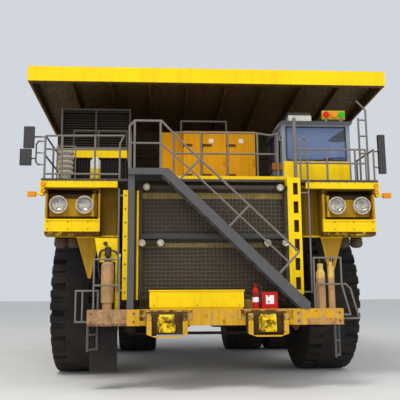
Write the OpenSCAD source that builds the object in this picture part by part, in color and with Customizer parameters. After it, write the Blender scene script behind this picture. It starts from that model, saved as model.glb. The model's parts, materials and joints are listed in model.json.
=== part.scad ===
// Full-size mining dump truck, millimetres, front towards -Y, up +Z.
// Places along the truck are counted rearward from the front axle.

/* [Overall] */
// Distance between the front and the rear axle
wheelbase = 6350; // [6250:10:6450]
// From the front axle forward to the tow loops
front_reach = 4400; // [4350:10:4500]
// From the front axle back to the end of the tail
tail_reach = 11200; // [11000:10:11400]
// Overall width across the dump bed
bed_w = 8690; // [8680:10:8760]
// Height of the canopy's front edge
canopy_top = 7370; // [7300:10:7450]

/* [Wheels] */
// Tyre radius over the lugs
tyre_r = 1850; // [1800:5:1860]
// Tyre width at its widest
tyre_w = 1345; // [1300:5:1350]
// Radius of the rim under the tyre beads
rim_r = 800; // [780:5:820]
// Distance of each kingpin from the middle plane
kingpin_x = 2000; // [1990:5:2010]
// Distance of each front wheel's middle from the middle plane
front_x = 3180; // [3160:5:3200]
// Distance of each inner rear tyre's middle from the middle plane
rear_x = 1932.5; // [1930:2.5:1945]
// Gap between the two tyres of a rear pair
twin_gap = 150; // [140:5:160]
// Lugs along one shoulder of a tyre
lug_count = 18; // [16:1:20]
// Depth of the notches between the lugs
lug_depth = 105; // [80:5:120]
// Width of the notches between the lugs
lug_slot = 150; // [130:5:180]

/* [Frame] */
// Inner face of each frame rail
rail_in = 560; // [540:5:570]
// Outer face of each frame rail
rail_out = 860; // [850:5:870]
// Top of the rails under the bed
rail_top = 3150; // [3130:5:3160]
// Underside of the rails at the front
rail_low = 1320; // [1310:5:1330]
// Half the bumper's width
bumper_x = 2680; // [2600:10:2720]
// Top of the bumper
bumper_top = 1650; // [1640:5:1660]
// Depth of the tow loops in front of the bumper
tow_d = 280; // [270:5:290]
// Depth of the bumper's box
bumper_d = 420; // [415:5:430]

/* [Deck] */
// Top of the deck
deck_z = 4540; // [4530:5:4550]
// Front edge of the deck
deck_y = -3430; // [-3440:5:-3420]
// Back edge of the deck
deck_back = 1050; // [1000:10:1100]
// Half the deck's width
deck_x = 3840; // [3830:5:3860]
// Height of the handrails over the deck
rail_h = 990; // [960:10:1050]
// Radius of the handrail tubes
tube_r = 24; // [20:1:26]

/* [Grille] */
// Half the grille's width
grille_x = 1660; // [1650:5:1665]
// Top of the grille
grille_top = 4350; // [4330:5:4380]
// Holes across the grille's mesh
grille_cols = 28; // [20:1:32]

/* [Bed] */
// Pivot of the bed, back from the front axle
pivot_y = 7600; // [7580:5:7620]
// Height of the bed's pivot
pivot_z = 2650; // [2640:5:2660]
// Front end of the bed's floor
floor_y = 2000; // [1980:5:2020]
// Height of the floor at its front end
floor_z = 3450; // [3445:5:3470]
// Height of the floor at the tail
tail_z = 4600; // [4590:5:4650]
// Thickness of the bed's plates
plate_t = 60; // [50:5:65]
// Depth of the cross bolsters under the floor
bolster_d = 170; // [150:5:175]
// Height of the side walls' top edge
wall_top = 7060; // [7020:10:7100]
// Back face of the front wall at its top
wall_y = 1350; // [1320:5:1380]
// Front edge of the canopy
canopy_y = -2920; // [-2950:5:-2900]
// Height of the canopy's edge beam
canopy_edge = 360; // [320:5:380]

/* [Hoists] */
// Distance of each hoist from the middle plane
hoist_x = 1065; // [1065:1:1066]
// Radius of the hoist's barrel
hoist_r = 150; // [140:2:150]
// Lower hoist pin, back from the front axle
hoist_y0 = 4300; // [4290:5:4310]
// Height of the lower hoist pin
hoist_z0 = 1350; // [1340:5:1360]
// Upper hoist pin, back from the front axle
hoist_y1 = 4200; // [4190:5:4210]
// Height of the upper hoist pin
hoist_z1 = 3420; // [3410:5:3430]

/* [Cab] */
// Inner side of the cab
cab_x0 = 1730; // [1725:5:1740]
// Outer side of the cab
cab_x1 = 3400; // [3390:5:3410]
// Front of the cab
cab_y0 = -2900; // [-2910:5:-2890]
// Back of the cab
cab_y1 = -1000; // [-1010:5:-980]
// Top of the cab's walls
cab_top = 6000; // [5990:5:6020]
// Thickness of the cab's walls
cab_t = 60; // [50:5:70]
// Width of a cab door
door_w = 720; // [700:5:730]

/* [Cabinet] */
// Right side of the electrical cabinet, seen from its front
cabinet_x1 = 1240; // [1230:5:1245]
// Left side of the electrical cabinet, seen from its front
cabinet_x0 = -1140; // [-1150:5:-1130]
// Front of the cabinet's doors
cabinet_y = -2000; // [-2010:5:-1990]
// Back of the cabinet
cabinet_back = -600; // [-620:5:-580]
// Top of the cabinet
cabinet_top = 6070; // [6050:5:6090]

/* [Hidden] */
// Place of the front axle in the truck's own frame
axle_y = (front_reach - tail_reach) / 2;
bumper_y = tow_d - front_reach;
bumper_back = bumper_y + bumper_d;
tow_z = 1290;
tow_low = 1160;
tow_x = [620, 1450];
rear_y = wheelbase;
wheel_z = tyre_r;
twin_x = rear_x + tyre_w + twin_gap;
bed_x = bed_w / 2;
skin_x = bed_x - 105;
slope = (tail_z - floor_z) / (tail_reach - floor_y);
hoist_dy = hoist_y1 - hoist_y0;
hoist_dz = hoist_z1 - hoist_z0;
hoist_len = norm([hoist_dy, hoist_dz]);
hoist_tilt = atan2(-hoist_dy, hoist_dz);
under_deck = deck_z - 60;
seam = 8;
seat = 0.3;
$fn = 48;

// Shared shapes
module placed() {
  translate([0, axle_y, 0]) children();
}

module pair() {
  children();
  mirror([1, 0, 0]) children();
}

module blk(x, y, z) {
  translate([x[0], y[0], z[0]]) cube([x[1] - x[0], y[1] - y[0], z[1] - z[0]]);
}

// Plate seen from the side: points are [along, height]
module side(x, points) {
  translate([x[0], 0, 0]) rotate([90, 0, 90]) linear_extrude(x[1] - x[0]) polygon(points);
}

// Plate seen from the front: points are [across, height]
module face(y, points) {
  translate([0, y[1], 0]) rotate([90, 0, 0]) linear_extrude(y[1] - y[0]) polygon(points);
}

// Round bar between two points
module bar(p, q, r) {
  v = q - p;
  l = norm(v);
  translate(p) rotate([0, acos(v[2] / l), atan2(v[1], v[0])]) cylinder(h = l, r = r);
}

// Round bar along X
module xbar(x, y, z, r) {
  translate([x[0], y, z]) rotate([0, 90, 0]) cylinder(h = x[1] - x[0], r = r);
}

// Round bar along Y
module ybar(x, y, z, r) {
  translate([x, y[1], z]) rotate([90, 0, 0]) cylinder(h = y[1] - y[0], r = r);
}

// Bent tube through the points, with a ball at each bend
module tube(points, r) {
  for (i = [1:len(points) - 1]) bar(points[i - 1], points[i], r, $fn = 16);
  if (len(points) > 2) for (i = [1:len(points) - 2])
    translate(points[i]) sphere(r = r + 2, $fn = 14);
}

// Turned piece standing along Z: points are [radius, height]
module turned(x, y, points) {
  translate([x, y, 0]) rotate_extrude() polygon(points);
}

// Turned piece facing the front: points are [radius, depth behind y]
module facing(x, y, z, points) {
  translate([x, y, z]) rotate([-90, 0, 0]) rotate_extrude() polygon(points);
}

// Top and underside of the floor's plate, and the tops of the beams under its bolsters
function floor_at(y) = floor_z + slope * (y - floor_y);

function plate_under(y) = floor_at(y) - plate_t;

function beam_at(y) = plate_under(y) - bolster_d - seat;

// Wheels
// Half of the tyre's section, as shares: [of its radius, of half its width]
tyre_half = [[0.676, 1], [0.935, 0.985], [1, 0.9]];
bead_x = 0.833 * tyre_w / 2;
lug_x = 0.45 * tyre_w / 2;

spindle_r = 200;
axle_r = 300;

module tyre(x) {
  half = [for (p = tyre_half) [p[0] * tyre_r, p[1] * tyre_w / 2]];
  back = [for (i = [len(half) - 1:-1:0]) [half[i][0], -half[i][1]]];
  bore = rim_r + seat;
  translate([x, 0, wheel_z]) rotate([0, 90, 0]) difference() {
    rotate_extrude($fn = 24) polygon(concat([[bore, -bead_x], [bore, bead_x]], half, back));
    // Notches of one shoulder stand between those of the other
    for (i = [0:lug_count - 1]) for (s = [0, 1])
      rotate([0, 0, 360 * (i + s / 2) / lug_count]) mirror([0, 0, s])
        translate([tyre_r - lug_depth, -lug_slot / 2, lug_x])
          cube([2 * lug_depth, lug_slot, tyre_w]);
  }
}

// Rim under one tyre, with a flange beside each bead
module rim_ring(x) {
  wall = 60;
  half = [[rim_r, bead_x + 1], [rim_r + wall, bead_x + 17], [rim_r + wall, bead_x + 55],
    [rim_r - wall, bead_x + 55]];
  back = [for (i = [len(half) - 1:-1:0]) [half[i][0], -half[i][1]]];
  translate([x, 0, wheel_z]) rotate([0, 90, 0]) rotate_extrude() polygon(concat(half, back));
}

module front_rim() {
  rim_ring(front_x);
  translate([front_x, 0, wheel_z]) rotate([0, 90, 0]) rotate_extrude()
    polygon([[spindle_r + seat, -300], [400, -300], [420, 20], [rim_r - 50, 110], [rim_r - 50, 180],
      [430, 120], [390, 300], [330, 430], [230, 470], [0, 470], [0, 400], [spindle_r + seat, 400]]);
}

module rear_rim() {
  rim_ring(rear_x);
  rim_ring(twin_x);
  translate([0, 0, wheel_z]) rotate([0, 90, 0]) rotate_extrude() {
    translate([rim_r - 60, rear_x + bead_x]) square([60, twin_x - rear_x - 2 * bead_x]);
    polygon([[axle_r + seat, twin_x - 20], [rim_r - 50, twin_x - 20], [rim_r - 50, twin_x + 50],
      [560, twin_x + 60], [500, twin_x + 120], [500, twin_x + 280], [450, twin_x + 340],
      [0, twin_x + 340], [0, twin_x + 280], [axle_r + seat, twin_x + 280]]);
  }
}

module tyre_front_left() {
  color([0.06, 0.06, 0.06]) placed() tyre(front_x);
}

module tyre_front_right() {
  color([0.06, 0.06, 0.06]) placed() mirror([1, 0, 0]) tyre(front_x);
}

module rim_front_left() {
  color([0.75, 0.6, 0.2]) placed() front_rim();
}

module rim_front_right() {
  color([0.75, 0.6, 0.2]) placed() mirror([1, 0, 0]) front_rim();
}

module tyres_rear_left() {
  color([0.06, 0.06, 0.06]) placed() translate([0, rear_y, 0]) {
    tyre(rear_x);
    tyre(twin_x);
  }
}

module tyres_rear_right() {
  color([0.06, 0.06, 0.06]) placed() translate([0, rear_y, 0]) mirror([1, 0, 0]) {
    tyre(rear_x);
    tyre(twin_x);
  }
}

module rims_rear_left() {
  color([0.75, 0.6, 0.2]) placed() translate([0, rear_y, 0]) rear_rim();
}

module rims_rear_right() {
  color([0.75, 0.6, 0.2]) placed() translate([0, rear_y, 0]) mirror([1, 0, 0]) rear_rim();
}

// Steering
arm_y = 720;
arm_z0 = 970;
arm_z1 = 1080;
tie_z = 902;
socket_z = 1990;
knuckle_top = 2150;
strut_rod = 150;
tie_pin = 40;

module knuckle() {
  difference() {
    union() {
      translate([kingpin_x, 0, 1250]) cylinder(h = knuckle_top - 1250, r = 270);
      translate([kingpin_x, 0, arm_z0]) cylinder(h = 300, r = 180);
      blk([kingpin_x - 110, kingpin_x + 110], [0, arm_y], [arm_z0, arm_z1]);
      translate([kingpin_x, arm_y, arm_z0]) cylinder(h = arm_z1 - arm_z0, r = 110);
      xbar([kingpin_x, front_x - 420], 0, wheel_z, 250);
      xbar([kingpin_x + 330, kingpin_x + 430], 0, wheel_z, 400);
      xbar([kingpin_x, front_x + 380], 0, wheel_z, spindle_r);
    }
    translate([kingpin_x, 0, socket_z]) cylinder(h = 400, r = strut_rod + seat);
    translate([kingpin_x, arm_y, arm_z0 - 10]) cylinder(h = 200, r = tie_pin + seat);
  }
}

module knuckle_left() {
  color([0.35, 0.33, 0.3]) placed() knuckle();
}

module knuckle_right() {
  color([0.35, 0.33, 0.3]) placed() mirror([1, 0, 0]) knuckle();
}

module tie_rod() {
  color([0.3, 0.3, 0.3]) placed() {
    xbar([-kingpin_x + 80, kingpin_x - 80], arm_y, tie_z, 42);
    for (s = [-1, 1]) translate([s * kingpin_x, arm_y, tie_z - 50]) {
      cylinder(h = 100, r = 100);
      cylinder(h = arm_z1 - tie_z + 50, r = tie_pin);
    }
  }
}

steer_y = arm_y + 30;
steer_z = 1150;
steer_end = 1250;
steer_bore = 60;

module steer_barrels() {
  color([0.3, 0.3, 0.3]) placed() pair() {
    difference() {
      union() {
        xbar([350, steer_end], steer_y, steer_z, 90);
        blk([300, 440], [steer_y - 70, steer_y + 70], [steer_z - 70, 1400]);
      }
      xbar([378, steer_end + 10], steer_y, steer_z, steer_bore);
    }
  }
}

module steer_rod() {
  xbar([780, kingpin_x - 60], steer_y, steer_z, 40);
  xbar([780, 860], steer_y, steer_z, steer_bore - seat);
  translate([kingpin_x, steer_y, steer_z - 50]) cylinder(h = 100, r = 90);
}

module steer_rod_left() {
  color([0.7, 0.7, 0.7]) placed() steer_rod();
}

module steer_rod_right() {
  color([0.7, 0.7, 0.7]) placed() mirror([1, 0, 0]) steer_rod();
}

// Frame
rail_side = [[bumper_back, rail_low], [bumper_back, 1850], [-1900, 1850], [-1100, 2400],
  [1900, 2480], [4000, 2700], [5400, rail_top], [7350, rail_top], [7780, 2950],
  [7880, 2650], [7800, 2400], [7500, 2300], [7200, 2400], [7100, 2640], [5600, 2640],
  [4300, 2050], [1900, 1750], [-1000, 1560], [-1900, rail_low]];
collar_x = 1700;
strut_y = 7220;
bed_pin = 90;
hoist_pin = 60;

module main_frame() {
  // Cross members: [half width, from, to, low, high]
  crosses = [[rail_in + 20, bumper_back, -3400, rail_low, 1800],
    [rail_in + 20, -1700, -1400, 1450, 1800], [rail_in + 20, -300, 300, 1620, 1850],
    [rail_in + 20, 600, 900, 1400, 1900], [rail_in + 20, 4150, 4450, 2100, 2500],
    [rail_in + 20, 7000, 7250, 2700, 3100], [rail_out + 20, -300, 300, 3050, 3350]];
  color([0.45, 0.38, 0.25]) placed() {
    difference() {
      union() {
        pair() {
          side([rail_in, rail_out], rail_side);
          blk([800, collar_x], [-300, 300], [2000, 3350]);
          blk([700, hoist_x - hoist_r - 25], [hoist_y0 - 150, hoist_y0 + 150],
            [hoist_z0 - 120, 2300]);
          blk([700, hoist_x - 80], [hoist_y0 - 100, hoist_y0 + 100],
            [hoist_z0 - 120, hoist_z0 + 90]);
          blk([rail_out - 40, 1300], [3150, 3450], [2150, 2400]);
          blk([rail_in + 20, rail_out - 20], [700, 900], [2400, under_deck]);
          blk([rail_in + 20, rail_out - 20], [2500, 2800], [2450, rail_top]);
        }
        for (c = crosses) blk([-c[0], c[0]], [c[1], c[2]], [c[3], c[4]]);
        blk([-440, 440], [7200, strut_y + 115], [2700, 3000]);
        blk([-150, 150], [4200, 4500], [1500, 2200]);
      }
      xbar([-1000, 1000], pivot_y, pivot_z, bed_pin + seat);
    }
    pair() {
      xbar([hoist_x - 81, hoist_x + 110], hoist_y0, hoist_z0, hoist_pin);
      xbar([hoist_x + 80, hoist_x + 110], hoist_y0, hoist_z0, 120);
    }
  }
}

module bumper() {
  color([0.6, 0.48, 0.25]) placed() {
    difference() {
      union() {
        blk([-bumper_x, bumper_x], [bumper_y, bumper_back], [rail_low, bumper_top]);
        pair() blk(tow_x, [-front_reach, bumper_y + 10], [tow_low, 1570]);
        // Lip under each tow pocket
        pair() face([-front_reach, -front_reach + 120], [[tow_x[0], tow_low + 40],
          [tow_x[0], tow_low], [tow_x[0] + 170, 1100], [tow_x[1] - 170, 1100],
          [tow_x[1], tow_low], [tow_x[1], tow_low + 40], [tow_x[1] - 190, 1130],
          [tow_x[0] + 190, 1130]]);
      }
      pair() blk([tow_x[0] + 100, tow_x[1] - 100], [-front_reach - 10, -front_reach + 180],
        [1130, 1600]);
      pair() xbar([tow_x[0] - 20, tow_x[1] + 20], -front_reach + 90, tow_z, 60);
    }
    // Butt straps over the bumper's joints
    pair() blk([1500, 1600], [bumper_y - 12, bumper_y], [rail_low + 20, bumper_top - 20]);
  }
}

module tow_blocks() {
  front = -front_reach + 20;
  color([0.95, 0.75, 0.1]) placed() pair() difference() {
    union() {
      side([890, 1200], [[front, tow_low + 40], [front + 160, tow_low + 20], [front + 160, 1550],
        [front + 60, 1550], [front, 1460]]);
      blk([860, 1230], [front + 115, front + 160], [tow_low + 60, 1500]);
    }
    xbar([800, 1300], -front_reach + 90, tow_z, 40);
    blk([945, 1145], [front - 10, front + 40], [1380, 1430]);
  }
}

module struts() {
  color([0.4, 0.38, 0.34]) placed() pair() {
    turned(320, strut_y, [[0, 1900], [90, 1900], [90, 2200], [125, 2210], [125, 2240], [115, 2250],
      [115, 2660], [0, 2700]]);
    turned(kingpin_x, 0, [[0, 2000], [strut_rod, 2000], [strut_rod, 2250], [275, 2260], [275, 2340],
      [250, 2350], [250, 3360], [200, 3450], [0, 3450]]);
    blk([collar_x, kingpin_x], [-280, 280], [2350, 3250]);
  }
}

module rear_axle() {
  color([0.3, 0.28, 0.25]) placed() {
    // Housing, its wheel-motor ends and the spindles
    translate([0, rear_y, wheel_z]) pair() rotate([0, 90, 0]) rotate_extrude()
      polygon([[0, 0], [700, 0], [740, 60], [740, 1060], [790, 1070], [790, 1130], [600, 1150],
        [600, twin_x - 60], [axle_r, twin_x - 60], [axle_r, twin_x + 240], [0, twin_x + 240]]);
    // Hatch at the back
    ybar(0, [rear_y + 500, rear_y + 740], wheel_z, 430);
    ybar(0, [rear_y + 730, rear_y + 765], wheel_z, 380);
    translate([0, 0, 1550]) linear_extrude(200)
      polygon([[-500, rear_y - 600], [500, rear_y - 600], [150, 4500], [-150, 4500]]);
    pair() blk([200, 440], [rear_y + 550, strut_y + 120], [1700, 1900]);
  }
}

module engine_block() {
  color([0.5, 0.42, 0.15]) placed() {
    blk([-520, 520], [-3000, -300], [1800, 3300]);
    ybar(0, [-310, 540], 2480, 470);
  }
}

module radiator() {
  color([0.12, 0.11, 0.1]) placed()
    blk([-1560, 1560], [-3520, -3250], [1850, grille_top]);
}

module grille() {
  gx = grille_x;
  rim = 80;
  bar = 24;
  // Panels of mesh: [low, high, rows of holes]
  panels = [[1930, 3160, 11], [3270, grille_top - 90, 9]];
  color([0.15, 0.12, 0.06]) placed() {
    difference() {
      blk([-gx, gx], [-3680, -3560], [1850, grille_top]);
      for (p = panels) blk([-gx + rim, gx - rim], [-3700, -3540], [p[0], p[1]]);
    }
    for (p = panels) {
      pitch_x = 2 * (gx - rim) / grille_cols;
      pitch_z = (p[1] - p[0]) / p[2];
      translate([0, -3530, 0]) rotate([90, 0, 0]) linear_extrude(30 - seat) difference() {
        translate([-gx + 30, p[0] - 30]) square([2 * gx - 60, p[1] - p[0] + 60]);
        for (i = [0:grille_cols - 1]) for (j = [0:p[2] - 1])
          translate([-gx + rim + pitch_x * i + bar / 2, p[0] + pitch_z * j + bar / 2])
            square([pitch_x - bar, pitch_z - bar]);
      }
    }
    // Brackets behind the lamps
    pair() blk([1090, 1650], [-3700, -3680], [3000, 3120]);
    pair() blk([1380, gx], [-3700, -3680], [4240, 4340]);
  }
}

module front_locker() {
  color([0.85, 0.68, 0.15]) placed() {
    blk([-1400, 590], [-4000, bumper_back], [bumper_top + 40, 2030]);
    blk([-1380, 570], [-3980, bumper_back], [bumper_top, bumper_top + 40]);
    blk([-1420, 610], [-4020, bumper_back], [2030, 2050]);
    for (x = [-1250, 380]) blk([x, x + 60], [-4012, -4000], [1900, 1990]);
  }
}

module extinguishers() {
  color([0.6, 0.1, 0.05]) placed() {
    turned(850, -3960, [[0, bumper_top], [70, bumper_top], [70, bumper_top + 380],
      [45, bumper_top + 430], [20, bumper_top + 440], [20, bumper_top + 480],
      [35, bumper_top + 485], [35, bumper_top + 520], [0, bumper_top + 520]]);
    blk([970, 1300], [-4050, -3850], [bumper_top, 2000]);
    blk([1000, 1270], [-4060, -4050], [bumper_top + 40, 1960]);
  }
}

module bumper_bottles() {
  color([0.6, 0.48, 0.25]) placed() {
    // Grease bottle with its pump head
    turned(-2290, -3850, [[0, bumper_top], [105, bumper_top], [105, 1780], [135, 1795],
      [135, 2560], [120, 2610], [75, 2660], [75, 2690], [45, 2700], [45, 2760], [72, 2775],
      [72, 2950], [40, 2970], [0, 2970]]);
    facing(-2340, -3960, 3030, [[0, 0], [48, 0], [48, 40], [15, 45], [15, 110], [0, 110]]);
    bar([-2290, -3850, 2960], [-2340, -3855, 3030], 16);
    turned(2290, -3850, [[0, bumper_top], [95, bumper_top], [95, 2400], [60, 2480], [60, 2600],
      [0, 2600]]);
    turned(2520, -3850, [[0, bumper_top], [70, bumper_top], [70, 2520], [40, 2560], [40, 2640],
      [0, 2640]]);
    // Can and ribbed stack on the deck
    turned(-2695, -2900, [[0, deck_z], [120, deck_z], [120, 5060], [70, 5110], [70, 5140],
      [0, 5140]]);
    turned(-3360, -3000, concat([[0, deck_z], [120, deck_z], [120, 4700]],
      [for (i = [0:4]) each [[160, 4710 + 118 * i], [186, 4740 + 118 * i], [160, 4790 + 118 * i],
        [120, 4800 + 118 * i]]], [[90, 5300], [0, 5300]]));
  }
}

// Stairs
stair_x0 = -1130;
stair_x1 = 1880;
stair_low = bumper_top;
land_z = 4640;
stair_y0 = -4140;
stair_y1 = -3720;
steps = 11;
land_x = -1870;
// Top edge of the stringers, and the handrail's place square to it
stair_from = [stair_x0 + 120, land_z];
stair_to = [stair_x1 + 100, stair_low + 130];
stair_u = (stair_to - stair_from) / norm(stair_to - stair_from);
stair_n = [-stair_u[1], stair_u[0]];
stair_rail = 620;

function on_stair(along, off) = stair_from + stair_u * along + stair_n * off;

module stairs() {
  rise = (land_z - stair_low) / (steps + 1);
  run = (stair_x1 - stair_x0) / (steps + 1);
  color([0.35, 0.36, 0.36]) placed() {
    for (y = [[stair_y0, stair_y0 + 30], [stair_y1 - 30, stair_y1]])
      face(y, [[stair_x0, land_z - 140], [stair_x0, land_z], stair_from, stair_to,
        [stair_x1 + 100, stair_low], [stair_x1 - 90, stair_low]]);
    for (i = [1:steps])
      blk([stair_x0 + run * i - 95, stair_x0 + run * i + 125], [stair_y0 + 20, stair_y1 - 20],
        [land_z - rise * i - 35, land_z - rise * i]);
    difference() {
      blk([land_x, stair_x0 - seat], [stair_y0, deck_y - seat], [land_z - 140, land_z]);
      blk([land_x + 40, stair_x0 - 40], [stair_y0 + 40, deck_y - 40], [land_z - 150, land_z - 40]);
    }
    blk([land_x, -1730], [stair_y0 + 60, stair_y0 + 160], [bumper_top, land_z - 140 - seat]);
    // Walkway plate on the front unit of the left deck
    blk([-3290, -1960], [unit_y - 60, grid_y - seat], [unit_top, unit_top + 60]);
    // Boarding ladders at the bumper's ends: [across, low end]
    for (l = [[-2580, 810], [2580, 650]]) {
      for (s = [-150, 150])
        translate([l[0] + s * 0.55, -3930 + s, l[1]])
          cylinder(h = rail_low - l[1], r = tube_r);
      for (h = [30, 330])
        bar([l[0] - 82.5, -4080, l[1] + h], [l[0] + 82.5, -3780, l[1] + h], tube_r - 2);
    }
  }
}

module mud_flap() {
  color([0.15, 0.15, 0.15]) placed()
    blk([-2650, -2070], [bumper_back - 40, bumper_back - 10], [370, rail_low]);
}

// Front unit of the left deck and the grid box behind it
unit_y = -2600;
unit_top = 5400;
unit_x = [-3270, -1980];
grid_y = -2200;
grid_x = [-3620, -1910];
grid_top = 6500;

// Deck
module deck() {
  color([0.3, 0.3, 0.28]) placed() {
    blk([-deck_x, deck_x], [deck_y, deck_back], [under_deck, deck_z]);
    for (y = [-1900, -400, 500]) pair()
      blk([900, deck_x], [y, y + 120], [deck_z - 200, under_deck + 10]);
  }
}

module deck_beams() {
  color([0.95, 0.75, 0.05]) placed() {
    blk([-3560, -2140], [deck_y, deck_y + 100], [deck_z - 200, under_deck]);
    blk([2150, 3560], [deck_y, deck_y + 100], [deck_z - 200, under_deck]);
    // End plates with their slanted corner, and the arms of the turn lamps
    pair() face([deck_y, deck_y + 100], [[3560, under_deck], [3560, deck_z - 200],
      [box_x1 + seat, deck_z - 200], [box_x1 + seat, 4210], [3790, 4150], [deck_x + 20, 4150],
      [deck_x + 20, under_deck]]);
    pair() xbar([deck_x + 10, 3960], deck_y + 45, 4190, 22);
    pair() blk([3950, 4130], [deck_y, deck_y + 90], [4130, 4240]);
    blk([-1070, 1830], [-3000, -2960], [deck_z, deck_z + 160]);
    // Slotted post beside the grille, and the narrow post on the left
    difference() {
      blk([grille_x, grille_x + 300], [-3680, deck_y], [1950, under_deck + 60]);
      for (z = [2050:420:4200]) blk([1790, 1900], [-3700, -3600], [z, z + 270]);
    }
    difference() {
      blk([-1990, -1880], [-3760, -3700], [bumper_top + 200, 4220]);
      for (z = [2000:300:4100]) ybar(-1935, [-3770, -3690], z, 22);
    }
    blk([-1990, -1650], [-3700, -3690], [bumper_top + 200, 4220]);
    // Beam over the front unit, band under the windscreen and its end blocks
    blk(unit_x, [unit_y - 40, grid_y - seat], [unit_top - 200, unit_top - seat]);
    blk([cab_x0 + 30, cab_x1 - 60], [cab_y0 - 60, cab_y0 - seat], [deck_z, 5075]);
    blk([cab_x0 - 240, cab_x0 - seat], [cab_y0, cab_y0 + 100], [4880, 5050]);
    // Bracket plate over the grease bottle, and the wings under the lamp boxes
    face([-3720, -3700], [[-2590, 3170], [-2060, 3170], [-2060, bumper_top],
      [-2140, bumper_top], [-2140, 2650], [-2500, 2650]]);
    pair() face([-2990, -2970], [[2560, lamp_low - seat], [3080, lamp_low - seat], [2800, 2330],
      [2740, 2330]]);
  }
}

rail_x = 3780;
rail_y = deck_y + 50;
mid_y = -2960 + tube_r + seat;
mid_z = 5760;
low_z = 5270;
unit_rail = 5860;

module handrails() {
  h = deck_z + rail_h;
  // Straight posts: [across, along, from, to]
  posts = [[-rail_x, rail_y, deck_z, h], [-3400, rail_y, deck_z, h], [-2660, rail_y, deck_z, h],
    [-860, mid_y, deck_z, mid_z], [-220, mid_y, deck_z, mid_z], [420, mid_y, deck_z, mid_z],
    [1130, mid_y, deck_z, mid_z - 8], [2680, rail_y, deck_z, low_z], [3340, rail_y, deck_z, low_z],
    [3590, -3000, deck_z, 6150], [rail_x, -3000, deck_z, 6350],
    [-2660, unit_y - 20, unit_top + 60, unit_rail]];
  // Bent tubes, each a list of points
  tubes = [
    [[-rail_x, rail_y, h], [-2010, rail_y, h + 20], [-2100, rail_y, h - 180],
      [-2100, rail_y, deck_z]],
    [[-rail_x, rail_y, h - 310], [-2100, rail_y, h - 310]],
    [[-rail_x, rail_y, deck_z + 110], [-2100, rail_y, deck_z + 110]],
    [[-3250, unit_y - 20, unit_top + 60], [-3250, unit_y - 20, unit_rail],
      [-1990, unit_y - 20, unit_rail], [-1990, unit_y - 20, unit_top + 60]],
    [[-rail_x, rail_y + 60, h], [-rail_x, 900, h], [-rail_x, 900, deck_z]],
    [[-rail_x, rail_y + 60, h - 450], [-rail_x, 900, h - 450]],
    [[-860, mid_y, mid_z], [1130, mid_y, mid_z], [1450, mid_y, mid_z - 50],
      [1620, mid_y, mid_z], [1620, mid_y, deck_z]],
    [[-860, mid_y, mid_z - 510], [1620, mid_y, mid_z - 510]],
    [[1930, rail_y, low_z], [3590, rail_y, low_z], [3590, rail_y, deck_z]],
    [[1930, rail_y, low_z - 330], [3590, rail_y, low_z - 330]],
    [[2050, rail_y, deck_z], [2050, rail_y, 5470], [2130, rail_y, 5570], [2210, rail_y, 5470],
      [2210, rail_y, deck_z]],
    [[rail_x, rail_y, deck_z], [rail_x, rail_y, low_z], [rail_x, -2200, low_z],
      [rail_x, -2200, deck_z]],
    [[rail_x, -3000, 6350], [3560, -3000, 6580]],
    [[-650, cabinet_y + 120, cabinet_top], [-650, cabinet_y + 120, cabinet_top + 280],
      [510, cabinet_y + 120, cabinet_top + 280], [510, cabinet_y + 120, cabinet_top]]];
  color([0.7, 0.7, 0.66]) placed() {
    for (p = posts) translate([p[0], p[1], p[2]])
      cylinder(h = p[3] - p[2], r = tube_r, $fn = 16);
    for (t = tubes) tube(t, tube_r - 2);
    for (z = [low_z, 5700, 6100]) xbar([3590, rail_x], -3000, z, tube_r - 4);
    for (y = [-2300, -1200, -100]) translate([-rail_x, y, deck_z])
      cylinder(h = rail_h, r = tube_r);
    translate([1930, rail_y, deck_z]) cylinder(h = 6010 - deck_z, r = 42);
    // Pale edges of the grid box's front, and the frame round the ribbed stack
    for (x = [grid_x[0], -2790, grid_x[1] - 40])
      blk([x, x + 40], [grid_y - 40, grid_y - seat], [unit_top + 61, grid_top]);
    blk(grid_x, [grid_y - 40, grid_y - seat], [grid_top, grid_top + 40]);
    tube([[-3570, -3000, deck_z], [-3570, -3000, 5380], [-3150, -3000, 5380],
      [-3150, -3000, deck_z]], 16);
  }
}

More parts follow.
